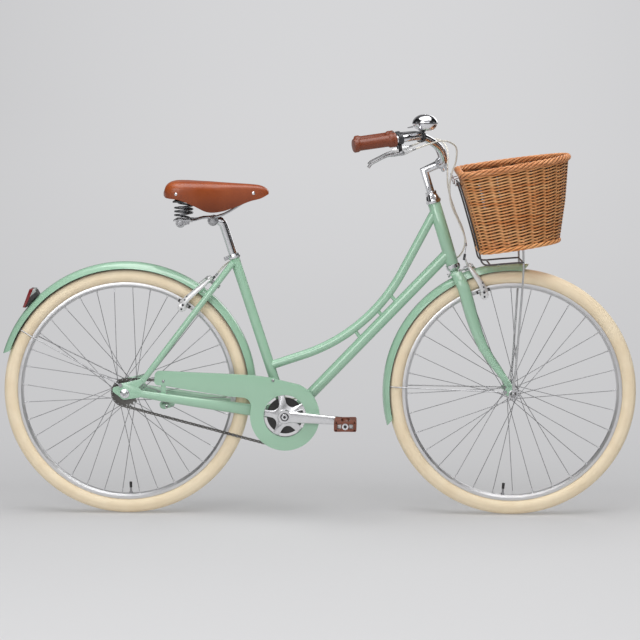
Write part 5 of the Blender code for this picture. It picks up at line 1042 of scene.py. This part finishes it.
def build_lever(side, label):
    """A black band round the bar, a cast body with the cable's barrel, and the blade on its pin."""
    start, way = grip_axis(side)
    centre = start - way * 0.012
    spot, pin, barrel_end = lever_pivot(side)
    cheek = spot + pin * 0.0088
    foot = cheek + pin * 0.002
    band = lathe(bmesh.new(), [(11.6, -8.5), (14, -8.5), (15.1, -7.5), (15.3, -2), (14.7, -1.2), (14.7, -0.2),
                               (15.3, 0.6), (15.1, 4), (14, 5), (11.6, 5), (11.6, -8.5)], centre, way, 40)
    tube(band, [centre - at(0, 0.0135), centre.lerp(foot, 0.6), foot], widths(3, 6.2, 5.4, 5), sides=16,
         across=(1, 0, 0))
    made(f"lever_{label}_band", band, clamp_black, STEERED, f"lever_mount_{label}", "aluminium")
    path = through([cheek - at(0.02, 0.002), cheek, cheek.lerp(barrel_end, 0.6), barrel_end], 24)
    cast = tube(bmesh.new(), path, widths(24, 2.2, 6.6, 8, 7.6, 5.8, 4), widths(24, 1.8, 4, 4.8, 4.6, 4.6, 4),
                sides=18, across=(0, 0, 1))
    made(f"lever_{label}_body", cast, cast_silver, STEERED, sharp=60)
    drop = 0 if side < 0 else 6
    path = through(spots((233, 1049, 250), (213, 1044.5 - drop / 2, 256), (193.1, 1041.6 - drop, 262),
                         (166.9, 1029 - drop, 272), (148.4, 1018.9 - drop, 279), (141.5, 1011 - drop, 282),
                         side=side), 48)
    blade = tube(bmesh.new(), path, widths(48, 4, 6.2, 7.2, 7.2, 7, 6.6, 6.2, 5.6),
                 widths(48, 4.6, 5.2, 4.4, 3.6, 3.2, 3, 3, 4.4), sides=18)
    lathe(blade, collar(0, 6.6, -3.2, 3.2, 0.6), spot, pin, 28)
    made(f"lever_{label}_blade", blade, lever_metal, frame["nodes"][f"lever_{label}"]["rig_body"],
         f"lever_{label}", "aluminium", sharp=60)


def build_bell():
    route = bar_half(-1)
    near = min(range(len(route)), key=lambda k: (route[k] - BELL_SPOT).length)
    middle, up = at(0.2976, 1.13, BELL_SPOT.y + 0.006), Vector((0, 0, 1))
    band = lathe(bmesh.new(), collar(12.5, 15.5, -5, 5, 0.8), route[near],
                 (route[near + 1] - route[near - 1]).normalized(), 36)
    tube(band, [route[near] + at(0.003, 0.015), middle - at(0, 0.019)], 0.0042, sides=18, across=(1, 0, 0))
    made("bell_band", band, clamp_black, STEERED)
    for piece, profile, material, node, slot in (
            ("seam", collar(33, 35.4, -1.2, 1.2, 0.5, 0.6), clamp_black, None, None),
            ("bowl", [(0, -21.5), (12, -21.2), (19, -19.8), (25, -16.8), (30, -11.8), (33.4, -6), (34.5, -1.8),
                      (34.5, -0.4), (0, -0.4)], chrome, "bell_base", "chrome"),
            ("cap", [(0, 25.2), (2.2, 25.2), (3, 24.6), (3.4, 24.2), (12.8, 23.6), (20, 20.8), (26.4, 16.8),
                     (31.2, 11.8), (34.1, 5.6), (34.9, 1.2), (35, 0.2), (33.8, 0.2), (33.8, 3), (0, 10)],
             chrome, "bell_dome", "chrome")):
        made(f"bell_{piece}", lathe(bmesh.new(), profile, middle, up, 56), material, STEERED, node, slot)


build_bar()
for build in (build_grip, build_lever):
    for side, label in SIDES:
        build(side, label)
build_bell()

# Basket
# Peeled willow in pairing weave: two rods run round together and cross between each
# two of the 21 stakes; a thick plaited rim on top and a plaited border at the foot.
INSET = -0.005
STAKES = 21
ROWS = 26
SAMPLES = 6
PLAIT_STEPS = 336
LEVELS = ((0.457, 0.688, 0.152, 0.766, 0.796), (0.427, 0.704, 0.18, 0.88, 0.913), (0.397, 0.712, 0.198, 0.984, 1.03))


def willow_group():
    """Peeled willow: every rod its own tone, streaks along it, and painted shade in the gaps of the weave."""
    group, entry, leave, place = coat_group("willow_rods")
    rows, streak = (noise(group, add(group, "ShaderNodeMapping", {"Vector": place, "Scale": scale})["Vector"],
                          1.0, detail) for scale, detail in (((9.0, 9.0, 150.0), 3.0), ((90.0, 90.0, 1500.0), 4.0)))
    share = reckon(group, "MULTIPLY", band(group, rows, 0.34, 0.66), entry["Amount"])
    tinge = blended(group, reckon(group, "MULTIPLY_ADD", streak, 0.35, share), entry["Main"], entry["Patch"])
    # The gap attribute holds painted shade: the higher it is, the nearer the rod's colour goes to near-black.
    gap = add(group, "ShaderNodeAttribute", attribute_name="gap")["Fac"]
    feed(group, leave, {"Colour": blended(group, gap, tinge, srgb(34, 9, 1)), "Height": streak,
                        "Roughness": band(group, streak, 0.0, 1.0, entry["Rough Low"], entry["Rough High"])})
    return group


willow_rods = willow_group()
willow = finish("peeled_willow", willow_rods, srgb(255, 198, 138), srgb(226, 142, 80), 0.75, (0.42, 0.62), bump=0.5,
                bump_size=0.0005, specular=0.2)
willow_light = finish("pale_willow", willow_rods, srgb(234, 171, 120), srgb(190, 118, 70), 0.7, (0.38, 0.58),
                      bump=0.5, bump_size=0.0005, specular=0.3)
chance = random.Random(4)


def d_ring(share, grow, count):
    """Evenly spaced points round the basket at a share of its height: flat back, round front."""
    low, t = (0, share * 2) if share < 0.5 else (1, share * 2 - 1)
    back, front, half, z_back, z_front = (a + (b - a) * t for a, b in zip(LEVELS[low], LEVELS[low + 1]))
    back, front, half, corner = back - grow, front + grow, half + grow, 0.045
    middle, reach = back + corner, front - back - corner
    loop = [at(middle + reach * cos(pi * k / 48 - pi / 2), 0, half * sin(pi * k / 48 - pi / 2)) for k in range(49)]
    for side, turns in ((1, range(96, 181, 6)), (-1, range(180, 270, 6))):
        loop += [at(middle + corner * cos(radians(a)), 0, side * (half - corner) + corner * sin(radians(a)))
                 for a in turns]
    ring = evenly(loop + loop[:1], [k / count for k in range(count)])
    for spot in ring:
        lift = 0.0045 * share * (1.0 + spot.y / 0.198) - 0.005 * (1.0 - share)
        spot.z = z_back + (z_front - z_back) * (spot.x - back) / (front - back) + lift
    return ring


def draw_line(curve, places, closed):
    line = curve.splines.new("POLY")
    line.points.add(len(places) - 1)
    for point, place in zip(line.points, places):
        point.co = (*place, 1.0)
    line.use_cyclic_u = closed


def strands(name, paths, wide, high, material, closed=True, node=None, sides=8, twist="Z_UP", gap=None):
    """Rods along paths, made from curves with an oval section and turned into one mesh.

    The gap function tells how deep in the weave a point of a rod lies, which darkens it with painted shade.
    """
    section, curve = (bpy.data.curves.new(f"{name}_{part}", "CURVE") for part in ("section", "curve"))
    section.dimensions, curve.dimensions = "2D", "3D"
    turns = [2 * pi * k / sides for k in range(sides)]
    draw_line(section, [(wide * cos(t), high * sin(t), 0.0) for t in turns], True)
    cutter = placed(f"{name}_section", section)
    curve.bevel_mode, curve.bevel_object = "OBJECT", cutter
    curve.twist_mode = twist
    curve.use_fill_caps = True
    for path in paths:
        draw_line(curve, path, closed)
    holder = placed(f"{name}_curve", curve)
    bpy.context.view_layer.update()
    mesh = bpy.data.meshes.new_from_object(holder.evaluated_get(bpy.context.evaluated_depsgraph_get()))
    for spare in (holder, cutter):
        bpy.data.objects.remove(spare)
    bm = bmesh.new()
    bm.from_mesh(mesh)
    bpy.data.meshes.remove(mesh)
    if gap:
        layer = bm.verts.layers.float.new("gap")
        walk = iter(bm.verts)
        for path in paths:
            for k, spot in enumerate(path):
                for _ in range(sides):
                    vert = next(walk)
                    vert[layer] = gap(k, vert.co, spot)
    made(name, bm, material, STEERED, node, "wicker" if node else None, sharp=60)


def outward(loop, k):
    """Level direction away from the basket at a point of a ring round it."""
    ahead, behind = loop[(k + 1) % len(loop)], loop[k - 1]
    return Vector((ahead.y - behind.y, behind.x - ahead.x, 0)).normalized()


# Painted shade in the weave: a rod darkens where it passes behind a stake into the basket, and along its upper and
# lower edges where the rows meet.
def weave_shade(k, place, spot):
    return min(1.0, max(0.0, -cos(pi * k / SAMPLES)) ** 0.6
               + max(0.0, abs(place.z - spot.z + 0.0004) / 0.0026 - 0.42) * 1.5)


def build_weave():
    count = STAKES * SAMPLES
    for part, rows in enumerate((range(9), range(9, 18), range(18, ROWS))):
        weavers = []
        for row in rows:
            loop = d_ring(0.05 + 0.905 * row / (ROWS - 1), INSET, count)
            drift = chance.uniform(-0.0003, 0.0003)
            swell = [chance.uniform(-0.0003, 0.0003) for _ in range(2 * STAKES)]
            path = []
            for k in range(2 * count):
                turn, thick = pi * k / SAMPLES, swell[k // SAMPLES]
                rise = drift + thick + 0.0021 * sin(turn) - 0.0034 * max(0.0, -cos(turn))
                path.append(loop[k % count] + outward(loop, k % count) * (0.0031 * cos(turn) + thick * 0.5)
                            + at(0, rise))
            weavers.append(path)
        strands(f"basket_weavers_{part}", weavers, 0.0019, 0.0029, willow, node=None if part else "basket",
                sides=10, gap=weave_shade)
    levels = [d_ring(0.005 + 0.97 * k / 8, INSET, STAKES) for k in range(9)]
    # The stakes carry an even painted shade, as they sit back behind the rods.
    strands("basket_stakes", list(zip(*levels)), 0.0041, 0.0041, willow_light, closed=False, twist="MINIMUM",
            gap=lambda k, place, spot: 0.7)


def plait(name, share, grow, helix, turns, rods, thick, material):
    """Rods wound round each other along a ring, with painted shade where they touch."""
    loop = d_ring(share, grow, PLAIT_STEPS)
    paths = []
    for lead in range(rods):
        swings = [2 * pi * (turns * k / PLAIT_STEPS + lead / rods) for k in range(PLAIT_STEPS)]
        paths.append([spot + outward(loop, k) * helix * cos(swings[k]) + at(0, helix * sin(swings[k]))
                      for k, spot in enumerate(loop)])
    strands(name, paths, thick, thick, material, sides=10,
            gap=lambda k, place, spot: min(1.0, max(0.0, 1.1 - ((place - loop[k]).length - helix) / thick * 1.6)))


def build_basket_floor():
    slats, sticks = [], []
    ring = d_ring(0.02, 2 * INSET, 240)
    low_x, high_x = min(p.x for p in ring), max(p.x for p in ring)

    def floor_spot(x, y, lift=0.0):
        return at(x, 0.77 + 0.03 * (x - low_x) / (high_x - low_x) + lift, y)
    x, sign = low_x + 0.006, -1
    while x < high_x - 0.008:
        near = [p.y for p in ring if abs(p.x - x) < 0.006 and p.y > 0]
        half = min(near, default=0.02)
        across = [-half + 2 * half * k / 40 for k in range(41)]
        slats.append([floor_spot(x, y, 0.0018 * cos(pi * (y + 0.16) / 0.032) * sign) for y in across])
        x, sign = x + 0.0072, -sign
    for k in range(-4, 5):
        reach = [p.x for p in ring if abs(p.y - k * 0.032) < 0.006]
        if reach:
            x0, x1 = min(reach) + 0.001, max(reach) - 0.001
            sticks.append([floor_spot(x0 + (x1 - x0) * t / 8, k * 0.032) for t in range(9)])
    strands("basket_floor_rods", slats, 0.003, 0.0018, willow, closed=False)
    strands("basket_floor_sticks", sticks, 0.0024, 0.0024, willow_light, closed=False)


build_weave()
plait("basket_rim_plait", 1.0, -0.004, 0.0062, 12, 5, 0.0037, willow_light)
plait("basket_foot_plait", 0.03, -0.0042, 0.0044, 9, 4, 0.0032, willow)
build_basket_floor()

# Basket straps and wire support
# Steel wire runs up the basket's back and under its floor, with two plated legs down
# to the front axle; two short leather straps tie the wire to the woven back.
WIRE_Y = 0.1
wire_coat = finish("dark_wire", fine_metal, srgb(104, 104, 107), srgb(84, 84, 87), 0.6, (0.26, 0.4), metal=0.8)
leg_plate = finish("leg_plating", fine_metal, (0.62, 0.62, 0.63, 1), (0.5, 0.5, 0.51, 1), 0.5, (0.24, 0.4),
                   metal=1.0)
strap_hide = finish("strap_hide", hide, srgb(128, 66, 40), srgb(96, 47, 28), 0.8, (0.4, 0.58), bump=0.4)


def build_support():
    above = at(FRONT.x, 0)
    foot_y = AXLE_HALF_FRONT + DROPOUT_T + GAP + 0.001
    path = spots((-159.5, 964, -100), (-139, 900, -100), (-110.6, 800, -100), (-101.2, 762, -100),
                 (-96, 742, -100), (-87, 732.5, -100), (-71, 731, -100), (-26, 735, -100), (22, 738.5, -97.5),
                 base=above)
    wires = mirrored(tube(bmesh.new(), through(path, 90), 0.0025, sides=14))
    for spot in spots((-159, 961, 0), (-71, 731, 0), (22, 738.5, 0), base=above):
        crosspiece(wires, spot, WIRE_Y, 0.0025, 14)
    made("basket_wires", wires, wire_coat, STEERED, "basket_support", "steel", sharp=50)
    path = spots((22, 780, -100), (23, 700, -93), (14, 550, -80), (6, 430, -69), base=above)
    path = through(path + [above + at(0.001, 0.385, -foot_y - 0.004)], 60)
    legs = tube(bmesh.new(), path, 0.003, sides=14)
    lathe(legs, collar(5.6, 13, -1, 1, 1, 0.5), FRONT - aside(foot_y), aside(1))
    block(legs, above + at(0.0015, 0.3795, -foot_y - 0.0012), (9, 4.4, 20.5), 0.8)
    made("basket_legs", mirrored(legs), leg_plate, STEERED, sharp=50)


def build_straps():
    """Each strap is a flat loop round the top wire and the woven back, its tail hanging behind a keeper."""
    straps, keepers = bmesh.new(), bmesh.new()
    for side in (-1, 1):
        base = aside(side * 0.078)
        loop = spots((413, 970, 0), (408, 977, 0), (398, 976, 0), (386, 972, 0), (382.5, 966, 0), (388, 956, 0),
                     (401, 953, 0), (411, 958, 0), (413, 970, 0), base=base)
        tube(straps, through(loop, 48)[:-1], 0.0065, 0.001, sides=8, closed=True)
        tail = spots((383.5, 970, 0), (380, 976, 0), (378.5, 983, 0), base=base)
        tube(straps, through(tail, 12), 0.006, 0.001, sides=8)
        block(keepers, base + at(0.388, 0.957), (6, 16, 9), 1.2)
    made("basket_straps", straps, strap_hide, STEERED, sharp=50)
    made("strap_keepers", keepers, leg_plate, STEERED, sharp=50)


build_support()
build_straps()

# Rim brakes
# Side-pull callipers: two cast arms cross on the bolt and reach past the mudguard to
# black rubber pads in bright holders, each held by a nut on its post.
PAD_R = 0.306
ARM_T = 0.006


def build_brake(label, base, direction, spacer, turn, centre, pull, foot, wire_end):
    down = at(direction.z, -direction.x) * (1 if direction.x > 0 else -1)
    pad = centre + toward(turn) * PAD_R
    pad_u, pad_v = (pad - base).dot(direction), (pad - base).dot(down)

    def spot(u, v, y):
        return base + direction * u + down * v + aside(y)
    for side, name in SIDES:
        body, out = frame["nodes"][f"{label}_brake_arm_{name}"]["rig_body"], aside(side)
        root = spacer + GAP + (0.0 if side < 0 else ARM_T + 0.0006)
        middle = root + ARM_T / 2
        path = [spot(middle, 0, 0), spot(middle, -0.003, side * 0.018), spot(middle + 0.004, 0.006, side * 0.0345),
                spot(middle + (pad_u - middle) * 0.45 + 0.006, pad_v * 0.5, side * 0.039),
                spot(pad_u + 0.003, pad_v - 0.01, side * 0.039), spot(pad_u, pad_v + 0.01, side * 0.0375)]
        arm = tube(bmesh.new(), through(path, 44), widths(44, 2.8, 4, 6.6, 8, 8.6, 9.8, 10.4),
                   widths(44, 7, 6.2, 5, 4.4, 4.2, 4.2, 4.2), sides=20, across=direction)
        lathe(arm, collar(0, 12, -4.2, 4.2, 0.8), spot(pad_u - 0.001, pad_v + 0.011, side * 0.0375), out, 36)
        lathe(arm, collar(3.2, 8.6, 0, 6, 0.6), base + direction * root, direction)
        if side == pull:
            path = through([spot(middle, 0, 0), spot(middle, -0.004, side * 0.012), foot], 20)
            tube(arm, path, 0.0029, widths(20, 5, 5, 4.2), sides=16, across=direction)
            way = (wire_end - foot).normalized()
            screw, wire = bmesh.new(), bmesh.new()
            rod(screw, foot - way * 0.008, foot + way * 0.01, 0.0036, 16)
            made(f"{label}_cable_screw", screw, clamp_black, body)
            rod(wire, foot + way * 0.008, wire_end, 0.0009, 10)
            made(f"{label}_inner_wire", wire, zinc, body)
        made(f"{label}_calliper_{name}", arm, cast_silver, body, f"{label}_brake_arm_{name}", "aluminium", sharp=50)
        pads, holders, bolts = bmesh.new(), bmesh.new(), bmesh.new()
        block(pads, pad + out * 0.0188, (40, 5.6, 9.6), 1.4, pi / 2 - turn)
        block(holders, pad + out * 0.0236, (30, 4.4, 8), 1.2, pi / 2 - turn)
        rod(holders, pad + out * 0.025, pad + out * 0.042, 0.003, 16)
        lathe(holders, [(0, 5.2), (3, 5.2), (5.6, 4.4), (5.8, 0), (0, 0)], pad + out * 0.0384, out, 6)
        for u, v, size in ((0.001, 0.003, 3.6), (-0.003, 0.015, 3), (0.0052, -0.012, 2.6), (0.007, -0.024, 2.2)):
            lathe(bolts, [(0, 0), (size, 0), (size, 6), (size * 0.8, 6.8), (0, 6.8)],
                  spot(pad_u + u, pad_v + v, side * 0.037), out, 20)
        made(f"{label}_pad_bolts_{name}", bolts, clamp_black, body)
        made(f"{label}_pad_{name}", pads, black, body)
        made(f"{label}_pad_holder_{name}", holders, zinc, body)


build_brake("front", at(0.39014, 0.700767), at(0.920505, 0.390731), 0.0385, radians(106.3), FRONT, -1,
            at(0.4155, 0.748, -0.03), at(0.42, 0.779, -0.031))
build_brake("rear", at(-0.296743, 0.66569), at(-0.795072, 0.606515), 0.0175, radians(56.5), REAR, 1,
            at(-0.3091, 0.6812, 0.0255), at(-0.3002, 0.6888, 0.0264))

# Brake cables
# Cream housings from the levers to the callipers, one beside the head tube to the
# front brake, the other along the down tube and up the seat tube to the rear one.
HOUSING_R = 0.0024
cable_coat = finish("cable_housing", rubber_coat, srgb(226, 222, 212), srgb(208, 202, 188), 0.6, (0.34, 0.46))


def cable(name, points, count, node):
    crosses = frame["nodes"][node]["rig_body"] == FIXED
    body = None if crosses else STEERED
    housing = tube(bmesh.new(), through(points, count * 6), HOUSING_R, sides=12, across=(0, 0.6, 0.8))
    housing = made(name, housing, cable_coat, body, node, "cream_plastic", sharp=60)
    caps = bmesh.new()
    for a, b in ((points[0], points[1]), (points[-1], points[-2])):
        way = (b - a).normalized()
        rod(caps, a + way * 0.0002, a + way * 0.01, 0.003, 16)
    caps = made(f"{name}_ferrules", caps, zinc, body)
    if crosses:
        for piece in (housing, caps):
            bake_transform(piece)


def build_cables():
    start = lever_pivot(-1)[2] + at(0.001, 0.0003)
    front = [start, start + at(0.015, 0.005, 0.008)] + spots(
        (304, 1072, -210), (340, 1081, -175), (365, 1078, -145), (386, 1062, -118), (387, 1025, -98),
        (376, 990, -86), (370, 950, -74), (376, 900, -60), (398, 850, -44), (416, 806, -35), (420, 780, -31))
    cable("front_brake_housing", front, 21, "front_brake_cable")
    start = lever_pivot(1)[2] + at(0.001, 0.0003)
    beside = DOWN_R + HOUSING_R + 0.001
    up = SEAT_R + HOUSING_R + 0.0012
    rear = [start, start + at(0.015, 0.006, -0.008)] + spots(
        (320, 1080, 210), (356, 1075, 170), (372, 1045, 130), (370, 1000, 95), (372, 940, 70), (390, 880, 55),
        (415, 820, 45), (418, 775, 38), (396, 742, 32))
    rear += [DOWN_START + DOWN_RUN * share + aside(beside + off) for share, off in (
        (0.06, 0.003), (0.2, 0), (0.45, 0), (0.7, 0), (0.86, 0.002))]
    rear += [BB + at(0.01, 0.04, beside + 0.004), BB + at(-0.022, 0.072, up + 0.003)]
    rear += [BB + SEAT_UP * reach + aside(up) for reach in (0.12, 0.24, 0.36, 0.43)]
    rear += spots((-243.5, 734, 30), (-264, 727, 35), (-285, 708, 32), (-300, 689, 26.5))
    cable("rear_brake_housing", rear, 46, "rear_brake_cable")


build_cables()

# Studio
# A pale floor that runs into a pale backdrop, with painted shade along the foot of the backdrop, at its
# sides and on the floor behind the bicycle, and a faint painted glow that lightens the floor's shadows;
# under soft area lights: a broad one above, a frontal fill and a weaker one behind for the edges.


def aimed(place, target):
    return (Vector(target) - Vector(place)).to_track_quat("-Z", "Y").to_euler()


def soft_light(name, place, target, size, power):
    lamp = bpy.data.lights.new(name, "AREA")
    lamp.shape = "RECTANGLE"
    lamp.size, lamp.size_y = size
    lamp.energy = power
    holder = placed(name, lamp)
    holder.location, holder.rotation_euler = place, aimed(place, target)


def greys(tree, value, stops, blue=1.0):
    """Greys that follow a value, a touch bluer than neutral."""
    node = tree.nodes.new("ShaderNodeValToRGB")
    for spot, level in stops[1:-1]:
        node.color_ramp.elements.new(spot)
    for element, (spot, level) in zip(node.color_ramp.elements, stops):
        element.position, element.color = spot, (level, level, level * blue, 1)
    feed(tree, node, {"Fac": value})
    return node.outputs["Color"]


def dimmed(tree, colour, share):
    return add(tree, "ShaderNodeVectorMath", {0: colour, "Scale": share}, operation="SCALE")["Vector"]


def backdrop_group():
    """Colour of the backdrop from a vector, with painted shade: paler in the middle and at the top, darker towards
    its foot and its sides.
    """
    group, entry, leave = new_group("backdrop", {"Spot": "Vector", "Drop": "Float"}, {"Colour": "Color"})
    parts = add(group, "ShaderNodeSeparateXYZ", {"Vector": entry["Spot"]})
    depth = reckon(group, "MAXIMUM", parts["Y"], 0.05)
    fall = reckon(group, "MULTIPLY", entry["Drop"], reckon(group, "DIVIDE", 6.16, depth))
    wall = greys(group, fall, ((0.0, 0.672), (0.15, 0.668), (0.36, 0.645), (0.49, 0.624), (0.74, 0.597),
                               (0.86, 0.575), (0.94, 0.572), (1.0, 0.535)), 1.018)
    side = reckon(group, "POWER", reckon(group, "ABSOLUTE", reckon(group, "DIVIDE", parts["X"], depth)), 2.0)
    side = reckon(group, "MINIMUM", reckon(group, "MULTIPLY", side, 3.2), 0.1)
    upper = reckon(group, "MAXIMUM", reckon(group, "SUBTRACT", 1.0, fall), 0.0)
    dim = reckon(group, "SUBTRACT", 1.0, reckon(group, "MULTIPLY", side, upper))
    feed(group, leave, {"Colour": dimmed(group, wall, dim)})
    return group


backdrop = backdrop_group()
ground = bpy.data.meshes.new("studio_floor")
bm = bmesh.new()
bmesh.ops.create_grid(bm, x_segments=1, y_segments=1, size=300.0)
bm.to_mesh(ground)
bm.free()
floor = placed("studio_floor", ground)
paper = bpy.data.materials.new("studio_paper")
paper.use_nodes = True
tree = paper.node_tree
matt = tree.nodes["Principled BSDF"]
spot = add(tree, "ShaderNodeTexCoord")["Object"]
depth = add(tree, "ShaderNodeSeparateXYZ", {"Vector": spot})["Y"]
# Painted shade: the floor's colour darkens from the front towards the backdrop behind the bicycle. The floor also
# glows faintly in that colour, a painted light that lightens the shadows cast on it.
tone = greys(tree, band(tree, depth, -1.6, 0.4), ((0.0, 0.47), (0.72, 0.418), (1.0, 0.368)), 1.01)
feed(tree, matt, {"Roughness": 0.9, "Specular IOR Level": 0.1, "Base Color": tone, "Emission Color": tone,
                  "Emission Strength": 0.48})
shifted = add(tree, "ShaderNodeMapping", {"Vector": spot, "Location": (-0.15, 6.0, 0.0)})["Vector"]
tint = add(tree, "ShaderNodeGroup", {"Spot": shifted, "Drop": 1.0}, node_tree=backdrop)["Colour"]
far = add(tree, "ShaderNodeEmission", {"Color": tint})["Emission"]
share = band(tree, depth, 0.05, 1.3, interpolation_type="SMOOTHSTEP")
both = add(tree, "ShaderNodeMixShader", {"Fac": share, 1: matt.outputs["BSDF"], 2: far})["Shader"]
feed(tree, tree.nodes["Material Output"], {"Surface": both})
ground.materials.append(paper)

world = bpy.data.worlds.new("studio_air")
bpy.context.scene.world = world
world.use_nodes = True
sky = world.node_tree
ambient = sky.nodes["Background"]
aim = add(sky, "ShaderNodeTexCoord")["Generated"]
parts = add(sky, "ShaderNodeSeparateXYZ", {"Vector": aim})
room = greys(sky, parts["Z"], ((0.0, 0.12), (0.06, 0.2), (0.2, 0.8), (0.4, 1.0), (0.52, 0.3), (0.78, 0.3),
                               (0.9, 1.0), (1.0, 1.0)), 1.02)
walls = greys(sky, reckon(sky, "ABSOLUTE", parts["X"]), ((0.0, 1.0), (0.54, 1.0), (0.66, 0.05), (0.94, 0.05),
                                                         (0.98, 0.45), (1.0, 0.45)))
shade = blended(sky, 1.0, room, walls, "MULTIPLY")
rear = band(sky, parts["Y"], -0.05, 0.4, 1.0, 0.28)
feed(sky, ambient, {"Color": dimmed(sky, shade, rear), "Strength": 1.15})
# The camera sees the backdrop colour here, with its painted shade towards the sides.
above = add(sky, "ShaderNodeGroup", {"Spot": aim, "Drop": 0.0}, node_tree=backdrop)["Colour"]
seen = add(sky, "ShaderNodeBackground", {"Color": above, "Strength": 1.0})["Background"]
camera_ray = add(sky, "ShaderNodeLightPath")["Is Camera Ray"]
chosen = add(sky, "ShaderNodeMixShader", {"Fac": camera_ray, 1: ambient.outputs["Background"], 2: seen})["Shader"]
feed(sky, sky.nodes["World Output"], {"Surface": chosen})

soft_light("overhead", (0.3, -0.6, 3.6), (0.0, 0.0, 0.5), (3.6, 3.0), 88.0)
soft_light("front_fill", (-1.8, -4.2, 2.4), (0.0, 0.0, 0.55), (2.6, 2.2), 48.0)
soft_light("back_edge", (1.8, 3.2, 2.2), (0.0, 0.0, 0.6), (2.4, 1.8), 20.0)

lens = bpy.data.cameras.new("camera")
lens.lens = 117.76
lens.sensor_width = 36.0
camera = placed("camera", lens)
camera.location = (0.15, -6.0, 1.177)
camera.rotation_euler = aimed(camera.location, (0.0025, 0.0, 0.564))
bpy.context.scene.camera = camera
bpy.context.scene.view_settings.view_transform = "Standard"
